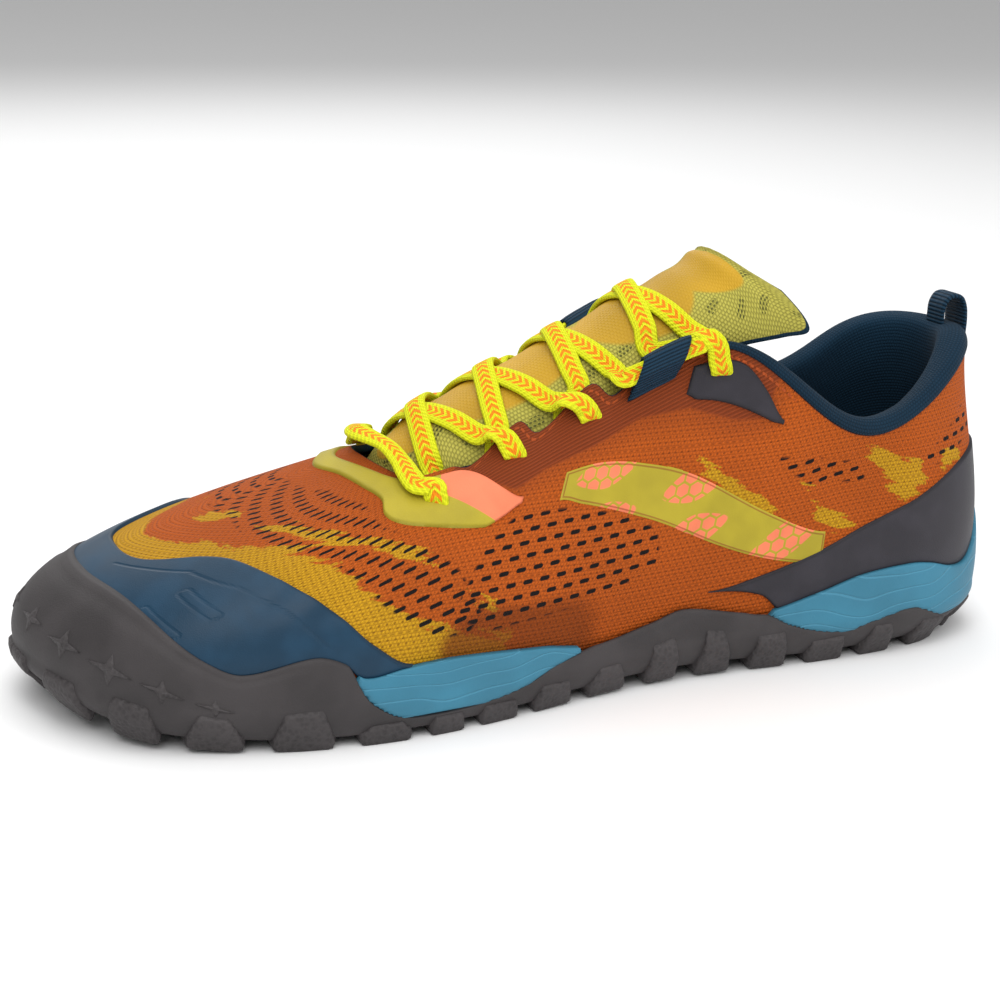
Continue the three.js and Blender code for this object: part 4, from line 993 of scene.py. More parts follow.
def creased(u, v):
    """Soft troughs and the ridge beside each, falling away along and across the crease."""
    w = from_heel(u)
    total = np.zeros(np.broadcast(u, v).shape)
    for at, low, high, slope, width, depth in CREASES:
        middle = (low + high) / 2
        line = at + slope * (v - middle)
        off = (w - line) * 24.0 / width
        ends = smooth(v, low - 0.06, low + 0.1) * (1 - smooth(v, high - 0.1, high + 0.06))
        total += ends * depth * (0.55 * np.exp(-((off - 1.6) ** 2)) - np.exp(-(off**2)))
    return total


def upper_shell():
    """The upper: its outer face, a rounded top edge with scallops, and its inner face."""
    sizes, _ = settings()
    wall = sizes.wall * 1000
    count, up_count, in_count = 528, 84, 16
    u = round_the_shoe(count)[:, None]
    v_out = np.linspace(0, 1, up_count)[None, :]
    v_in = np.linspace(1, 0, in_count)[None, :]
    lift = scallop(u)
    speed = 3 * np.hypot(last_at(u)[..., 5], last_at(u)[..., 6])
    throat = smooth(v_out, 0.72, 1.0)
    rise = (v_out - 1) * speed + lift * throat
    u_grid = np.broadcast_to(u, rise.shape)
    v_grid = np.broadcast_to(v_out, rise.shape)
    h = creased(u_grid, v_grid)
    near = smooth(v_grid, 0.66, 0.72)[..., None] * (np.abs(lift) > 1e-3)[..., None]
    outer = skin(u_grid, v_grid, h) * (1 - near) + rim_point(u_grid, rise, h) * near
    roll = [(0.35, -0.15), (0.55, -wall / 2), (0.35, 0.15 - wall)]
    edge = np.stack([rim_point(u[:, 0], lift[:, 0] + up, np.full(count, out)) for up, out in roll], 1)
    low = np.minimum(lift, 0) / speed
    v_low = v_in + low * smooth(v_in, 0.8, 1.0)
    inner = skin(np.broadcast_to(u, v_low.shape), v_low, np.full(v_low.shape, -wall))
    points = np.concatenate([outer, edge, inner], 1)

    hidden = len(roll) + in_count
    flat_v = np.concatenate([v_grid, np.ones((count, len(roll))), np.broadcast_to(v_in, v_low.shape)], 1)
    flat = flat_place(np.broadcast_to(u, flat_v.shape), flat_v)
    flat[:, :up_count, 1] += lift * throat
    w = from_heel(u)
    # Where the painted shade lies: low on the wall at the midfoot, above the sole.
    midfoot_shade_mask = smooth(w, 5.2, 6.2) * (1 - smooth(w, 6.9, 7.6)) * (1 - smooth(flat_v, 0.10, 0.36))
    fields = {
        "eyestay": zone(flat, EYESTAY), "front_holes": zone(flat, FRONT_HOLES),
        "side_holes": np.maximum.reduce([zone(flat, z) for z in (SIDE_HOLES, HEEL_HOLES, REAR_HOLES)]),
        "yellow": np.maximum.reduce([zone(flat, z) for z in YELLOWS]), "midfoot_shade": midfoot_shade_mask,
        "edge": np.concatenate([-rise + lift, np.zeros((count, hidden))], 1),
        "inside": np.concatenate([np.zeros((count, up_count)), np.ones((count, hidden))], 1),
        "stitched": np.broadcast_to(smooth(w, 3.9, 4.1) * (1 - smooth(w, 8.9, 9.2)), flat_v.shape),
    }
    along = np.concatenate([spread(u[:, 0]), [spread(STATIONS)]])
    up_wall = np.concatenate([flat[..., 1], flat[:1, :, 1]], 0)
    up_wall = np.concatenate([up_wall, up_wall[:, :1]], 1)
    uv = np.stack([np.broadcast_to(along[:, None], up_wall.shape), up_wall], -1)
    return surface("upper_shell", points, True, True, uv, fields, flip=True)


def film(name, us, low, high, lift, thickness, nv, extra=None):
    """A film between two drawn edges: its top stands off the wall and rolls down to it all
    round, and its underside lies just inside the wall, so that it is one closed form."""
    u = us[:, None]
    share = np.linspace(0, 1, nv)[None, :]
    bottom, top = low(us)[:, None], high(us)[:, None]
    v = mix(bottom, top, share)
    tall = (top - bottom) * wall_height(us)[:, None]
    ends = np.minimum(spread(us) - spread(us[0]), spread(us[-1]) - spread(us))[:, None]
    rim = np.minimum(np.minimum(share, 1 - share) * tall, ends)
    round_off = np.sqrt(np.clip(1 - (1 - np.clip(rim / 0.8, 0, 1)) ** 2, 0, 1))
    h = -0.25 + (lift + thickness + 0.25) * round_off + creased(u, v)
    over = skin(np.broadcast_to(u, v.shape), v, h)
    under = skin(np.broadcast_to(u, v.shape), v, np.full(v.shape, -0.3))[:, ::-1]
    points = np.concatenate([over, under], 1)
    v_all = np.concatenate([v, v[:, ::-1]], 1)
    u_all = np.broadcast_to(u, v_all.shape)
    flat = flat_place(u_all, v_all)
    fields = {"rim": np.concatenate([rim, rim[:, ::-1]], 1)}
    if extra:
        fields.update(extra(u_all, v_all, flat))
    uv = np.concatenate([flat, flat[:, :1]], 1)
    uv = np.concatenate([uv, uv[:1]], 0)
    return surface(name, points, False, True, uv, fields, flip=True)


def above_sole(edge):
    """A film's lower edge, kept just under the sole's lip."""
    return lambda u: np.maximum(edge(u), sole_top(u) - 0.016)


def capsule(points, a, b, radius):
    """How far inside a rounded bar between two flat places."""
    a, b = flat_place(*np.array(a)), flat_place(*np.array(b))
    d = b - a
    t = np.clip(((points - a) * d).sum(-1) / (d * d).sum(), 0, 1)
    return radius - np.linalg.norm(points - a - t[..., None] * d, axis=-1)


def cap_fields(u, v, flat):
    """Lines pressed into the toe cap: the outlines of two bars, and a long bent line."""
    marks = [capsule(flat, (9.35, 0.34), (9.75, 0.42), 1.4), capsule(flat, (9.6, 0.25), (9.95, 0.33), 1.4)]
    outline = 0.4 - np.abs(np.maximum.reduce(marks))
    arc = [(8.32, 0.2), (8.75, 0.36), (9.3, 0.46), (9.9, 0.5), (10.6, 0.46)]
    line = np.maximum.reduce([capsule(flat, a, b, 0.4) for a, b in zip(arc, arc[1:])])
    return {"emboss": smooth(np.maximum(outline, line), -0.3, 0.3)}


def hexagons(flat, pitch):
    """Distance inside the nearest cell of a six-sided grid."""

    def cell(p):
        q = np.abs(p)
        return pitch / 2 - np.maximum(q[..., 0], 0.5 * q[..., 0] + 0.866 * q[..., 1])

    step = np.array([pitch, pitch * math.sqrt(3)])
    a = np.mod(flat, step) - step / 2
    b = np.mod(flat + step / 2, step) - step / 2
    return np.maximum(cell(a), cell(b))


def side_fields(u, v, flat):
    """Clusters of six-sided cells: the grid is kept where two slow waves add up."""
    hexes = hexagons(flat, 4.2)
    low = TAU / 31
    patch = np.sin(flat[..., 0] * low + 1.3) + np.sin(flat[..., 1] * low * 1.9 + flat[..., 0] * low * 0.6)
    return {"hexes": np.minimum(hexes - 0.32, (patch - 0.35) * 2.0)}


def throat_fields(u, v, flat):
    """The coral end of the film beside the throat, on the outer and the inner side."""
    coral = zone(flat, [[7.84, 1.05], [7.75, 0.93], [7.62, 0.82], [6.92, 0.58], [6.6, 0.6], [6.6, 1.05]])
    return {"coral": coral}


def collar_pad():
    """The collar: a rolled section carried round the opening, thick at the heel, that
    runs down the inside; its two ends are drawn in under the eyestay."""
    pad = along_side([[0, 3.4], [1, 4.4], [2, 3.6], [3, 2.4], [4, 1.2], [5.2, 0.4]])
    end = 5.2
    u = np.linspace(-end, end, 300)
    w = np.abs(u)
    slim = mix(0.4, 1, smooth(end - w, 0, 1.6))
    back = 2.5
    p = pad(u)
    over = [(-0.1, 0.4, 0), (-0.4, 2.6, 0), (1.4, 4.8, 0.1), (3.6, 4.2, 0.7), (4.4, 1.5, 1)]
    lines = [past_edge(u, rise * slim, -depth * (np.maximum(slim, 0.65) if depth > 0 else 1) - share * p)
             for depth, rise, share in over]
    inside = [(0.93, 1), (0.8, 0.85), (0.65, 0.5), (0.5, 0.05)]
    lines += [skin(u, np.full_like(u, v), -back - 1 - share * (p + 0.8 * slim)) for v, share in inside]
    lines += [skin(u, np.full_like(u, v), np.full_like(u, -back)) for v, _ in inside[::-1]]
    lines += [past_edge(u, np.full_like(u, 0.4), np.full_like(u, -back))]
    rows = np.stack(lines)
    shape = rows.shape
    curve = closed_curve(rows.reshape(shape[0], -1))
    t = np.arange(84) * shape[0] / 84
    points = curve(t).reshape(84, shape[1], 3).transpose(1, 0, 2)
    middle = points.mean(1, keepdims=True)
    draw = np.clip((end - w) / 0.12, 0, 1)[:, None, None] ** 0.5
    points = mix(middle, points, draw)
    return surface("collar_pad", points, False, True, flip=True)


tongue_rows = smooth_line(TONGUE)


def tongue_middle(row):
    """The tongue's middle line, just to the outer side of the shoe's."""
    x = HEEL_X - row[..., 0] * LAST_LENGTH
    return np.stack([x, np.full_like(x, -1.2), row[..., 1] * INSTEP_HEIGHT], -1)


def tongue_line(i, across, depth):
    """A point of the tongue: an arc across, bent to each section's radius."""
    row = tongue_rows(i)
    middle = tongue_middle(row)
    ahead = tongue_middle(tongue_rows(np.minimum(i + 1, len(TONGUE) - 2)))
    behind = tongue_middle(tongue_rows(np.maximum(np.minimum(i, len(TONGUE) - 3) - 1, 0)))
    along = unit(ahead - behind)
    down = np.stack([along[..., 2], 0 * along[..., 0], -along[..., 0]], -1)
    angle = np.radians(row[..., 3]) * across
    radius = row[..., 2] * BALL_WIDTH
    drop = (radius - (radius - depth) * np.cos(angle))[..., None]
    side = ((radius - depth) * np.sin(angle))[..., None] * np.array([0, 1.0, 0])
    return middle + down * drop + along * (row[..., 4] * LAST_LENGTH * across**2)[..., None] + side


# Where the tongue's yellow patches lie.
# section, across, half length, half width
PATCHES = np.array([
    [7.8, -0.15, 1.0, 0.35], [6.0, -0.1, 1.1, 0.5], [3.6, 0.0, 1.4, 0.55], [1.4, -0.1, 0.8, 0.4],
])


def tongue_pad():
    """The tongue: a crowned pad, thin at its sides and rounded at its top."""
    sizes, _ = settings()
    thick = sizes.tongue * 1000
    n, m = 150, 44
    last = len(TONGUE) - 1
    i = np.linspace(0, last, n)[:, None]
    theta = np.arange(2 * m) * TAU / (2 * m)
    across = np.clip(np.cos(theta), -1, 1)[None, :]
    across = np.sign(across) * np.abs(across) ** 0.72
    half = np.sign(np.sin(theta)) * np.abs(np.sin(theta)) ** 0.55
    tip = np.sqrt(np.clip(1 - np.clip((i - (last - 0.9)) / 0.9, 0, 1) ** 2, 0, 1))
    root = np.sqrt(np.clip(i / 0.3, 0, 1))
    depth = thick / 2 * (1 - half[None, :] * np.maximum(tip * root, 0.02))
    dimple = 0.35 * np.sin(i * 5.2) * np.exp(-((across / 0.7) ** 2)) * (half[None, :] > 0)
    i2, a2, d2 = np.broadcast_arrays(i, across, depth + dimple)
    points = tongue_line(i2, a2, d2)
    printed = np.full(i2.shape, -9.0)
    for at, side, long, wide in PATCHES:
        q = np.sqrt(((i2 - at) / long) ** 2 + ((a2 - side) / wide) ** 2)
        printed = np.maximum(printed, (1 - q) * 2)
    printed = np.where(half[None, :] > 0, printed, -9.0)
    border = np.maximum(smooth(np.abs(a2), 0.93, 0.985), smooth(i2, last - 0.12, last))
    border = np.maximum(border, np.broadcast_to((half[None, :] < 0.0) * 1.0, border.shape))
    return surface("tongue_pad", points, False, True, None, {"print": printed, "border": border})


def insole_pad():
    """The insole: a cupped footbed inside the upper, closed at its middle line."""
    sizes, _ = settings()
    inset = -(sizes.wall + 2 * sizes.gap) * 1000
    thick = sizes.insole * 1000
    u = round_the_shoe(264)

    cup = 0.07

    def edge(s, v):
        flat = np.zeros_like(np.asarray(s, float))
        return skin(s, flat + v, flat + inset)

    def level(lift):
        def ring(s):
            p = edge(s, cup if lift else 0.0)
            p[..., 2] = foot(s)[..., 2] + lift
            return p

        return ring

    rows = [towards_middle(level(0.0), u, k) for k in (0, 0.5, 1.0)] + [edge(u, cup / 2), edge(u, cup)]
    rows += [towards_middle(level(thick), u, k) for k in (0.97, 0.9, 0.7, 0.5, 0.3, 0.1, 0)]
    points = np.stack(rows, 1)
    return surface("insole_pad", points, True, False, flip=True)


OUTSOLE_WALL, OUTSOLE_LIP_WALL, OUTSOLE_PLATE = 2.3, 1.4, 2.0


def outsole_tray():
    """The outsole's tray: bottom, side up to its wavy top edge, inner wall and floor."""
    u = round_the_shoe(660)
    top = outsole_top(u)

    def wall(t):
        return mix(OUTSOLE_WALL, OUTSOLE_LIP_WALL, t)

    def floor(s):
        s = np.asarray(s, float)
        return at_height(lambda a, t: sole_skin(a, t, -wall(t)), s, sole_edge(s)[..., 2] + OUTSOLE_PLATE)

    rows = [towards_middle(sole_edge, u, k) for k in (0, 0.25, 0.5, 0.75, 0.95)]
    outer = np.linspace(0, 1, 26)
    lip = np.interp(outer, [0, 0.93, 0.97, 1], [0, 0, -0.15, -0.5])
    by_toe = smooth(from_heel(u), 8.2, 8.8)
    groove = [-0.5 * np.exp(-(((k - 0.9) / 0.03) ** 2)) * by_toe for k in outer]
    rows += [sole_skin(u, k * top, drop + cut) for k, drop, cut in zip(outer, lip, groove)]
    rows += [sole_skin(u, k * top, -wall(k * top)) for k in (0.995, 0.8, 0.55, 0.35)]
    rows += [towards_middle(floor, u, k) for k in (1, 0.6, 0.3, 0)]
    points = np.stack(rows, 1)
    fields = {"textured": np.zeros(points.shape[:2])}
    return surface("outsole_tray", points, True, False, None, fields, flip=True)


def side_lugs():
    """The lugs round the edge: each a sheet from under the sole, round the edge and up the
    side, that stands out of the tray and falls back into it all round."""
    across = np.array([0, 0.015, 0.05, 0.12, 0.3, 0.5, 0.7, 0.88, 0.95, 0.985, 1.0])
    stand = np.array([0, 0.6, 0.92, 1, 1, 1, 1, 1, 0.92, 0.6, 0])[:, None, None]
    reach, root, depth_in = 0.34, LUG_DEPTH + 0.7, 1.2
    steps = [("under", 0.0), ("under", 0.06), ("under", 0.5), ("ground", 0.55), ("ground", 1.0)]
    steps += [("side", k) for k in (0.25, 0.45, 0.62, 0.78, 0.9, 0.97, 1.0)]
    grids = []
    for side in (-1, 1):
        for start, stop, top, draw in SIDE_LUGS:
            low_u = mix(start, stop, across)
            high_u = mix(start + draw, stop - draw, across)
            out_rows, in_rows = [], []
            for kind, k in steps:
                if kind == "side":
                    row = on_side(mix(low_u, high_u, k), side)
                    t = np.full_like(row, max(top - 0.02, 0.1) * k)
                    lift = 1.35 * (1 - 0.45 * smooth(k, 0.3, 1.0)) * (1 - smooth(k, 0.94, 1.0))
                    out_rows.append(sole_skin(row, t, np.full_like(row, lift)))
                    in_rows.append(sole_skin(row, t, np.full_like(row, -depth_in)))
                    continue
                row = on_side(low_u, side)
                if kind == "under":
                    point = towards_middle(sole_edge, row, 1 - reach * (1 - k * 0.9))
                else:
                    point = sole_edge(row) + outward(row) * (0.95 * k)
                ground = point[:, 2] - LUG_DEPTH
                inner = point.copy()
                inner[:, 2] = ground + root
                if kind == "ground":
                    inner = inner - outward(row) * depth_in
                bevel = 0.35 if k == 1.0 else 0.0
                point[:, 2] = ground + (0.0 if k > 0.05 else root) + bevel
                out_rows.append(point)
                in_rows.append(inner)
            grid = mix(np.stack(in_rows, 1), np.stack(out_rows, 1), stand)
            grids.append(grid if side < 0 else grid[::-1])
    return join_grids("side_lugs", grids)


def tread_lugs():
    """Chevrons under the sole: six-cornered rings from the plate down, the last drawn in."""
    rows, start, stop = 8, 1.9, 8.9
    pitch = (stop - start) / (rows - 1)
    corners = np.array([[0.3, 0], [0.48, -1], [0.14, -1], [-0.14, 0], [0.14, 1], [0.48, 1]])
    levels = [(LUG_DEPTH + 0.7, 1.0), (0.45, 1.0), (0.0, 0.9)]
    half_wide = 0.14
    grids = []
    for k in range(rows):
        for centre in (-0.38, 0.0, 0.38):
            p = mix(start, stop, k / (rows - 1)) + (0.5 * pitch if centre == 0 else 0)
            places = [(p + a * pitch, centre + b * half_wide) for a, b in corners]
            base = np.array([towards_middle(sole_edge, np.array(on_side(at, -1 if off < 0 else 1)), abs(off))
                             for at, off in places])
            middle = base.mean(0)
            stack = []
            for z, scale in levels:
                level = mix(middle, base, scale)
                level[:, 2] = base[:, 2] - LUG_DEPTH + z
                stack.append(level)
            stack.append(np.repeat(stack[-1].mean(0)[None], len(corners), 0))
            grid = np.stack(stack, 1)
            grids.append(np.concatenate([grid, grid[:1]], 0))
    return join_grids("tread_lugs", grids, flip=True)


def toe_pips():
    """Small four-pointed studs on the toe bumper: a star on the sole's side, raised."""
    places = [(10.75, 0.56), (10.35, 0.52), (9.95, 0.50), (9.55, 0.50), (9.15, 0.50), (11.25, 0.56)]
    angle = np.arange(17) * TAU / 16
    radius = np.interp(np.mod(np.arange(17), 4), [0, 1, 2, 3, 4], [1.0, 0.42, 0.3, 0.42, 1.0])
    grids = []
    for k, (u0, t0) in enumerate(places):
        rise = []
        scale = 3.4 - 0.25 * abs(k - 2)
        for reach, h in ((1.0, -0.2), (0.8, 0.35), (0.02, 0.6)):
            du = scale * reach * radius * np.cos(angle) / 17.0
            dt = scale * reach * radius * np.sin(angle) / 26.0
            rise.append(sole_skin(u0 + du, t0 + dt, np.full(17, h)))
        grids.append(np.stack(rise, 1))
    return join_grids("toe_pips", grids)


def midsole_foam():
    """The foam: its side shows between the outsole's wavy top and the upper."""
    u = round_the_shoe(528)
    gap = 0.3

    def shows(s):
        return smooth(1 - outsole_top(s), 0.02, 0.1)

    def bed_z(s):
        return foot(s)[..., 2] - gap

    low = sole_face(u, 0 * u)[..., 2]
    bed_share = np.clip((bed_z(u) - low) / (sole_face(u, 0 * u + 1)[..., 2] - low), 0, 1)
    high = mix(bed_share, 1.0, shows(u))

    def bottom(s):
        s = np.asarray(s, float)
        z = sole_face(s, 0 * s)[..., 2] + OUTSOLE_PLATE + gap
        return at_height(lambda a, t: sole_skin(a, t, 0 * t - 2.7), s, z)

    def bed(s):
        s = np.asarray(s, float)
        p = skin(s, 0 * s, 0 * s + gap)
        p[..., 2] = bed_z(s)
        return p

    top = outsole_top(u)
    rows = [towards_middle(bottom, u, k) for k in (0, 0.5, 1)]
    for k in np.linspace(0, 1, 20):
        t = mix(0.24, high, k)
        hidden = 1 - smooth(t, top - 0.07, top - 0.01)
        rows.append(sole_skin(u, t, mix(-gap + 0.25, -2.7, hidden)))
    rows.append(sole_skin(u, high, 0 * u - 0.6))
    rows += [skin(u, k * sole_top(u) * shows(u), 0 * u + gap) for k in (1, 0.6, 0.3, 0)]
    rows += [towards_middle(bed, u, k) for k in (0.9, 0.5, 0)]
    points = np.stack(rows, 1)
    return surface("midsole_foam", points, True, False, flip=True)


def strip(points, normals, widths, thick, sides=18):
    """A flat cord: a rounded flat section carried along a path that has its own normals."""
    along = unit(np.gradient(points, axis=0))
    across = unit(np.cross(along, normals))
    out = unit(np.cross(across, along))
    theta = np.arange(sides) * TAU / sides
    a = np.sign(np.cos(theta)) * np.abs(np.cos(theta)) ** 0.55
    b = np.sign(np.sin(theta)) * np.abs(np.sin(theta)) ** 0.8
    widths = np.broadcast_to(np.asarray(widths, float), points.shape[:1])
    grid = points[:, None] + across[:, None] * (a[None, :, None] * widths[:, None, None] / 2)
    grid = grid + out[:, None] * (b[None, :, None] * thick / 2)
    length = np.concatenate([[0], np.cumsum(np.linalg.norm(np.diff(points, axis=0), axis=-1))])
    flat = np.stack(np.broadcast_arrays(length[:, None], (a[None, :] * widths[:, None] / 2)), -1)
    flat = np.concatenate([flat, flat[:, :1]], 1)
    flat = np.concatenate([flat, flat[-1:]], 0)
    return grid, flat


def close_ends(grid):
    """Draws the first and last ring of a tube together, so that it is closed."""
    first = np.repeat(grid[:1].mean(1, keepdims=True), grid.shape[1], 1)
    last = np.repeat(grid[-1:].mean(1, keepdims=True), grid.shape[1], 1)
    return np.concatenate([first, grid, last], 0)


def strips_mesh(name, parts):
    """Several cords as one mesh with one UV map, along and across, in millimetres."""
    points, faces, uvs, start = [], [], [], 0
    for grid, flat in parts:
        n, m = grid.shape[:2]
        closed = close_ends(grid)
        flat = np.concatenate([flat[:1], flat[:-1], flat[-2:-1], flat[-2:-1]], 0)
        faces.append(grid_faces(n + 2, m, False, True) + start)
        uvs.append(grid_uv(n + 2, m, False, True, flat).reshape(-1, 2))
        points.append(closed.reshape(-1, 3))
        start += (n + 2) * m
    return write_mesh(name, np.concatenate(points), np.concatenate(faces), np.concatenate(uvs))


def over_tongue(section, across, h):
    """A place over the tongue and the way out of it there."""
    section, across = np.asarray(section, float), np.asarray(across, float)
    p = tongue_line(section, across, -np.asarray(h, float) + 0 * section)
    q = tongue_line(section, across, -np.asarray(h, float) - 1 + 0 * section)
    return p, unit(q - p)


def lace_key(points, normals, samples):
    """A smooth path through a few places, with normals that turn evenly between them."""
    points, normals = np.array(points), np.array(normals)
    step = np.concatenate([[0], np.cumsum(np.sqrt(np.linalg.norm(np.diff(points, axis=0), axis=-1)))])
    t = np.interp(np.linspace(0, step[-1], samples), step, np.arange(len(points)))
    return smooth_line(points)(t), unit(smooth_line(normals)(t))


def wall_key(u, rise, h, tilt=0.0):
    """A place by the throat's edge; tilt turns the lace from lying on the wall to flat."""
    u = np.array(float(u))
    n = normal(face, u, np.array(1.0))
    up = unit(face(u, np.array(1.0)) - face(u, np.array(0.97)))
    return rim_point(u, np.array(float(rise)), np.array(float(h))), unit(n * (1 - tilt) + up * tilt)


def lace_end(row, side, over=True):
    """Over the edge from the front, slanting down the wall and into the eyelet."""
    u, down, _, _, film = row
    h = film + 1.25
    keys = [(u + 0.30, 4.6, 2.6, 0.4), (u + 0.14, 1.0, h + 0.9, 0.15)] if over else []
    keys += [(u + 0.05, -down + 2.6, h + 0.1, 0.0), (u, -down + 0.5, h - 0.2, 0.0),
             (u - 0.04, -down - 0.8, h - 2.0, -0.5), (u - 0.05, -down - 1.2, h - 4.4, -0.9)]
    return [wall_key(on_side(k[0], side), *k[1:]) for k in keys]


def lace_start(row, side):
    """From under the edge beside an eyelet, out over the tongue."""
    u = row[0] + 0.2
    keys = [(u, -6.0, -4.4, 0.0), (u, -2.5, -3.8, 0.1), (u + 0.04, 1.2, -3.2, 0.35)]
    return [wall_key(on_side(k[0], side), *k[1:]) for k in keys]


# The lace loops: from and to which station, how far out their inner leg lies, how far they stand
# past the edge, and how far out the lace lies inside them.
LOOP_U = (5.44, 5.9)
LOOP_MIDDLE, LOOP_REACH = 5.66, 0.22
LOOP_FOOT, LOOP_RISE = 1.3, 5.9
LOOP_LACE = LOOP_FOOT + 2.2
LOOP_LACE_WIDTH = 4.8


def loop_keys(side, towards):
    """Places of the lace inside a loop, from past its side towards the middle."""
    return [wall_key(on_side(LOOP_MIDDLE + towards * share * LOOP_REACH, side), 1.6 + max(share - 1, 0),
                     LOOP_LACE, 0.1) for share in (1.75, 1.0, 0.2, -0.3)]


def lace_strip(keys, samples, slim_start=False, slim_end=False):
    """The lace through its keys, drawn in where it passes through a loop."""
    sizes, _ = settings()
    width = sizes.lace_width * 1000
    path, normals = lace_key([k[0] for k in keys], [k[1] for k in keys], samples)
    t = np.linspace(0, 1, samples)
    widths = np.full(samples, width)
    if slim_start:
        widths = mix(LOOP_LACE_WIDTH, width, smooth(t, 0.1, 0.3))
    if slim_end:
        widths = mix(LOOP_LACE_WIDTH, width, smooth(1 - t, 0.1, 0.3))
    return strip(path, normals, widths, sizes.lace_thickness * 1000)


def lace_run(a, b, side, top_strand):
    """One crossing: under the edge on one side, over the tongue, into the other side."""
    first, last = LACING[a], LACING[b]
    share = np.linspace(0.0, 1.0, 7)
    section = mix(first[3], last[2], share)
    across = side * mix(0.72, -0.7, share)
    cross = np.exp(-(((share - 0.5) / 0.17) ** 2))
    h = 1.35 + 0.5 * smooth(share, 0.55, 1.0) + cross * (1.75 if top_strand else 0.0)
    p, n = over_tongue(section, across, h)
    start = loop_keys(side, -1)[::-1] if a == LOOP_ROW else lace_start(first, side)
    end = loop_keys(-side, 1) if b == LOOP_ROW else lace_end(last, -side)
    return lace_strip(start + list(zip(p, n)) + end, 96, a == LOOP_ROW, b == LOOP_ROW)


def lace_bar():
    """The lowest lace: straight over the throat's front end, from eyelet to eyelet."""
    rows = [(8.0, -6.4, 2.7, 0.0), (8.25, -2.6, 3.0, 0.1), (8.6, 1.4, 3.4, 0.25), (9.3, 3.9, 4.2, 0.25)]
    one = [wall_key(*row) for row in rows]
    other = [wall_key(STATIONS - row[0], *row[1:]) for row in rows[::-1]]
    keys = lace_end(LACING[0], -1, False)[::-1] + one + [wall_key(11.0, 2.6, 5.0)] + other
    keys += lace_end(LACING[0], 1, False)
    return lace_strip(keys, 110)


def strap(us, path, thick):
    """Webbing that follows the top edge: its path goes past the edge and out from the wall,
    offset to both faces and closed round its sides."""
    path = np.asarray(path, float)
    t = np.linspace(0, len(path) - 1, 12 * (len(path) - 1))
    line = smooth_line(path)(t)
    d = unit(np.gradient(line, axis=0))
    side = np.stack([-d[:, 1], d[:, 0]], -1)
    us = np.asarray(us, float)
    edge = np.minimum(np.arange(len(us)), len(us) - 1 - np.arange(len(us)))
    slim = np.interp(edge, [0, 1, 2], [0.5, 0.9, 1.0])
    ends = np.clip(np.minimum(np.arange(len(t)), len(t) - 1 - np.arange(len(t))) / 2.0, 0.05, 1)
    half = thick / 2 * slim[None, :, None] * ends[:, None, None]
    over = line[:, None] + side[:, None] * half
    under = line[:, None] - side[:, None] * half
    ring = np.concatenate([over, under[:, ::-1]], 1)
    u = np.concatenate([us, us[::-1]])[None, :] + 0 * ring[..., 0]
    points = rim_point(u, ring[..., 0], ring[..., 1])
    length = np.concatenate([[0], np.cumsum(np.linalg.norm(np.diff(line, axis=0), axis=-1))])
    wide = np.concatenate([spread(us), spread(us)[::-1], spread(us)[:1]])
    flat = np.stack(np.broadcast_arrays(length[:, None], wide[None, :]), -1)
    return points, np.concatenate([flat, flat[-1:]], 0)


def webbing_mesh(name, us, path, thick):
    """One strap as a mesh, with its first end drawn nearly shut."""
    points, uv = strap(us, path, thick)
    first = np.repeat(points[:1].mean(1, keepdims=True), points.shape[1], 1)
    points[:1] = mix(first, points[:1], 0.9)
    return surface(name, points, False, True, uv)


# Operators, one for each piece or group of like pieces


class SHOE_OT_upper(bpy.types.Operator):
    """Build the knitted upper with its scalloped, ribbed eyestay"""

    bl_idname = "shoe.upper"
    bl_label = "Upper"

    def execute(self, context):
        finish(upper_shell(), knit_material(), "upper")
        return {"FINISHED"}


class SHOE_OT_films(bpy.types.Operator):
    """Build the welded films: toe cap, heel counter, throat, eyelet patches and side"""

    bl_idname = "shoe.films"
    bl_label = "Films"

    def execute(self, context):
        sizes, colours = settings()
        thick = sizes.film * 1000
        grey = film_material("grey film", colours.grey)

        cap = film("toe_cap_film", np.linspace(7.5, 14.5, 330), above_sole(lambda u: 0 * u),
                   along_side(TOE_CAP_TOP), 0.15, 0.9, 60, cap_fields)
        finish(cap, film_material("petrol film", colours.petrol, 0.4, True), "toe_cap")

        counter = film("heel_counter_film", np.linspace(-4.5, 4.5, 330), above_sole(along_side(COUNTER_FOOT)),
                       along_side(COUNTER_TOP), 0.1, thick, 40)
        finish(counter, grey, "heel_counter")

        throat = film("throat_film", np.linspace(6.72, 15.28, 330), along_side(WING_FOOT),
                      along_side(WING_TOP), 0.1, thick, 26, throat_fields)
        two_tone = printed_material("throat film", "coral", colours.coral, True, 0.42, 1.0, 0.35)
        finish(throat, two_tone, "vamp_overlay")

        low, high = along_side(PATCH_FOOT), along_side(PATCH_TOP)
        for side, end in SIDES:
            us = np.sort(on_side(np.linspace(4.05, 5.25, 60), side))
            patch = film("eyelet_film_" + end, us, low, high, 0.1, thick, 24)
            finish(patch, grey, "eyelet_patch_" + end)

        celled = printed_material("printed side film", "hexes", colours.coral, False, 0.4, 0.3, 0.4)
        low, high = along_side(SIDE_FOOT), along_side(SIDE_TOP)
        for side, end in SIDES:
            us = np.sort(on_side(np.linspace(3.3, 6.35, 230), side))
            panel = film("side_film_" + end, us, low, high, 0.0, 0.3, 70, side_fields)
            finish(panel, celled, None)
        return {"FINISHED"}


class SHOE_OT_collar(bpy.types.Operator):
    """Build the padded collar"""

    bl_idname = "shoe.collar"
    bl_label = "Collar"

    def execute(self, context):
        _, colours = settings()
        made = finish(collar_pad(), cloth_material("navy knit", colours.navy, 1.0), "collar")
        return {"FINISHED"}


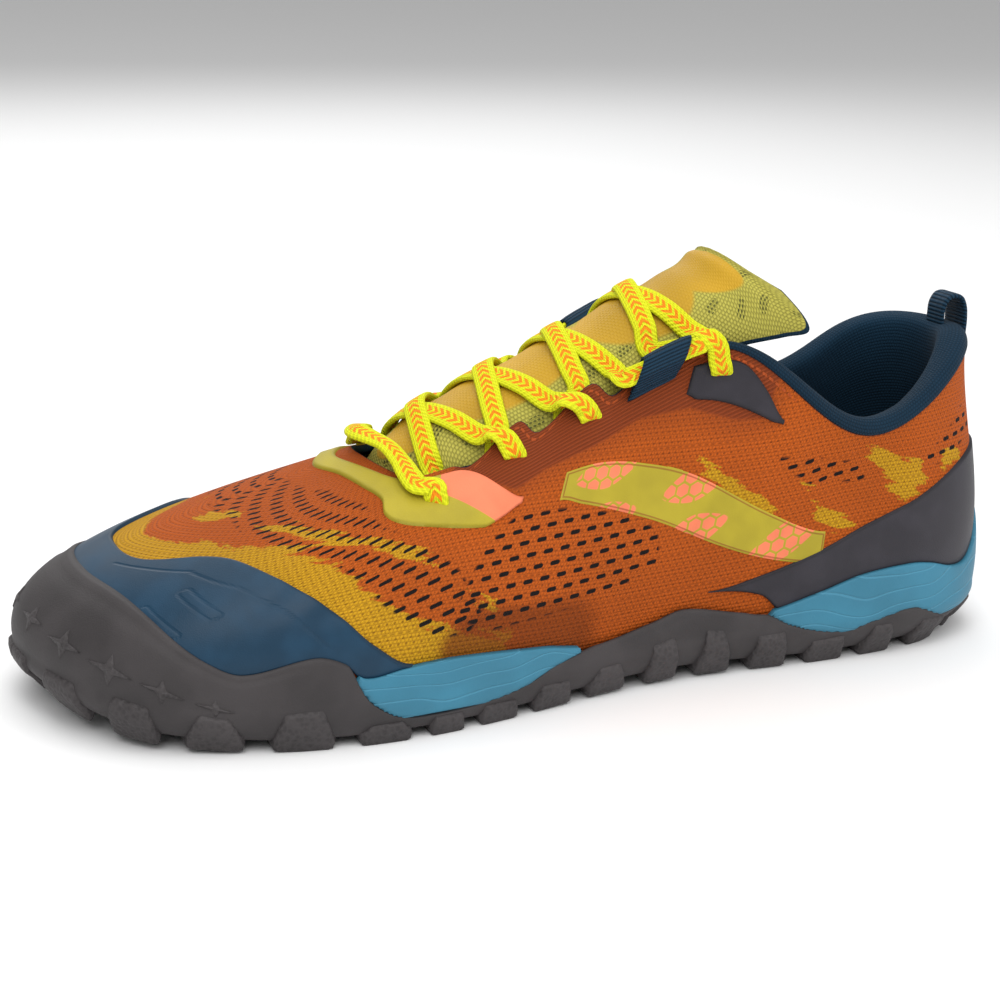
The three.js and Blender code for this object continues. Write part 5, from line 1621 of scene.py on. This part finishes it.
class SHOE_OT_tongue(bpy.types.Operator):
    """Build the padded tongue"""

    bl_idname = "shoe.tongue"
    bl_label = "Tongue"

    def execute(self, context):
        made = finish(tongue_pad(), tongue_material(), "tongue")
        return {"FINISHED"}


class SHOE_OT_insole(bpy.types.Operator):
    """Build the insole"""

    bl_idname = "shoe.insole"
    bl_label = "Insole"

    def execute(self, context):
        _, colours = settings()
        footbed = cloth_material("navy footbed", [c * 1.2 for c in colours.navy], 1.1)
        made = finish(insole_pad(), footbed, "insole")
        return {"FINISHED"}


class SHOE_OT_sole(bpy.types.Operator):
    """Build the foam and the rubber outsole with its lugs and toe studs"""

    bl_idname = "shoe.sole"
    bl_label = "Sole"

    def execute(self, context):
        finish(midsole_foam(), foam_material(), "midsole")
        rubber = rubber_material()
        finish(outsole_tray(), rubber, "outsole")
        for made in (side_lugs(), tread_lugs(), toe_pips()):
            values = np.ones(len(made.data.vertices), np.float32)
            made.data.attributes.new("textured", "FLOAT", "POINT").data.foreach_set("value", values)
            finish(made, rubber, None)
        return {"FINISHED"}


class SHOE_OT_laces(bpy.types.Operator):
    """Run the flat lace through the eyelets and loops"""

    bl_idname = "shoe.laces"
    bl_label = "Laces"

    def execute(self, context):
        parts = [lace_bar()]
        for row in range(len(LACING) - 1):
            for side in (1, -1):
                parts.append(lace_run(row, row + 1, side, side < 0))
        finish(strips_mesh("lace_runs", parts), lace_material(), "laces")
        return {"FINISHED"}


class SHOE_OT_loops(bpy.types.Operator):
    """Build the webbing loops of the lace and the pull loop at the heel"""

    bl_idname = "shoe.loops"
    bl_label = "Loops"

    def execute(self, context):
        sizes, _ = settings()
        thick = sizes.webbing * 1000
        webbing = webbing_material()
        top = 2 * LOOP_LACE - LOOP_FOOT
        path = [[-6.2, -0.6], [-5, LOOP_FOOT], [0, LOOP_FOOT], [LOOP_RISE - 1.4, LOOP_FOOT + 0.2],
                [LOOP_RISE - 0.3, LOOP_FOOT + 1.1], [LOOP_RISE - 0.3, top - 1.1], [LOOP_RISE - 1.6, top],
                [0.2, top - 0.1], [-2.6, LOOP_LACE], [-4.6, LOOP_FOOT + 0.4], [-5.6, -0.6]]
        for side, end in SIDES:
            us = on_side(np.linspace(*LOOP_U, 9), side)
            loop = "lace_loop_" + end
            finish(webbing_mesh(loop + "_webbing", us, path, thick), webbing, loop)
        pull = [[-6, 1.4], [0, 1.6], [5, 1.9], [9.5, 1.6], [12.2, 0.2], [12.4, -2.8], [10, -4.9],
                [6.5, -5.4], [2, -5.4], [-3, -5.6]]
        us = np.linspace(-0.31, 0.31, 15)
        finish(webbing_mesh("heel_pull_webbing", us, pull, thick), webbing, "heel_loop")
        return {"FINISHED"}


# name, place, size, power
LAMPS = (
    ("key", (-0.5, -0.9, 1.1), 1.1, 12), ("fill", (0.9, -0.7, 0.6), 1.0, 4.5),
    ("back", (0.1, 1.0, 0.9), 1.2, 6.5), ("top", (0.0, 0.0, 1.4), 1.3, 9),
)


class SHOE_OT_stage(bpy.types.Operator):
    """Set the floor, the lights and the camera"""

    bl_idname = "shoe.stage"
    bl_label = "Stage"

    def execute(self, context):
        scene = context.scene
        bpy.ops.mesh.primitive_plane_add(size=60.0, location=(0, 0, 0))
        floor = context.active_object
        floor.name = "floor"
        white = bpy.data.materials.new("pale floor")
        white.use_nodes = True
        shader = white.node_tree.nodes["Principled BSDF"]
        shader.inputs["Base Color"].default_value = (0.9, 0.9, 0.9, 1)
        shader.inputs["Roughness"].default_value = 0.7
        floor.data.materials.append(white)
        for name, at, size_m, power in LAMPS:
            data = bpy.data.lights.new(name, "AREA")
            data.size, data.energy = size_m, power
            lamp = bpy.data.objects.new(name, data)
            lamp.location = at
            aim = np.array([0, 0, 0.04]) - np.array(at)
            lamp.rotation_mode = "QUATERNION"
            lamp.rotation_quaternion = Vector((0, 0, -1)).rotation_difference(Vector(aim))
            scene.collection.objects.link(lamp)
        world = bpy.data.worlds.new("soft sky")
        world.use_nodes = True
        world.node_tree.nodes["Background"].inputs[0].default_value = (1, 1, 1, 1)
        world.node_tree.nodes["Background"].inputs[1].default_value = 0.42
        scene.world = world
        scene.view_settings.view_transform = "Standard"
        az, el, roll = math.radians(-23.3), math.radians(15.6), math.radians(1.7)
        back = np.array([math.sin(az) * math.cos(el), -math.cos(az) * math.cos(el), math.sin(el)])
        right = np.array([math.cos(az), math.sin(az), 0])
        up = np.cross(back, right)
        across = math.cos(roll) * right + math.sin(roll) * up
        upward = -math.sin(roll) * right + math.cos(roll) * up
        data = bpy.data.cameras.new("camera")
        data.sensor_width, data.lens = 36.0, 83.16
        data.shift_x, data.shift_y = -0.032, -0.0135
        camera = bpy.data.objects.new("camera", data)
        place = np.array([0.001695, 0.001045, 0.05]) + back * 0.65
        turn = np.column_stack([across, upward, back, place])
        camera.matrix_world = Matrix([*turn.tolist(), [0, 0, 0, 1]])
        scene.collection.objects.link(camera)
        scene.camera = camera
        return {"FINISHED"}


class SHOE_PT_panel(bpy.types.Panel):
    """Lists the shoe's pieces"""

    bl_idname = "SHOE_PT_panel"
    bl_label = "Trail Shoe"
    bl_space_type = "VIEW_3D"
    bl_region_type = "UI"
    bl_category = "Shoe"

    def draw(self, context):
        for made in PIECES:
            self.layout.operator(made.bl_idname)
        for group in (context.scene.shoe_sizes, context.scene.shoe_colours):
            for key in group.__annotations__:
                self.layout.prop(group, key)


PIECES = (SHOE_OT_upper, SHOE_OT_films, SHOE_OT_collar, SHOE_OT_tongue, SHOE_OT_insole, SHOE_OT_sole,
          SHOE_OT_laces, SHOE_OT_loops, SHOE_OT_stage)
CLASSES = (ShoeSizes, ShoeColours, *PIECES, SHOE_PT_panel)


def register():
    for made in CLASSES:
        bpy.utils.register_class(made)
    bpy.types.Scene.shoe_sizes = PointerProperty(type=ShoeSizes)
    bpy.types.Scene.shoe_colours = PointerProperty(type=ShoeColours)


def unregister():
    del bpy.types.Scene.shoe_colours
    del bpy.types.Scene.shoe_sizes
    for made in reversed(CLASSES):
        bpy.utils.unregister_class(made)


def main():
    register()
    for made in PIECES:
        group, name = made.bl_idname.split(".")
        getattr(getattr(bpy.ops, group), name)()


if __name__ == "__main__":
    main()
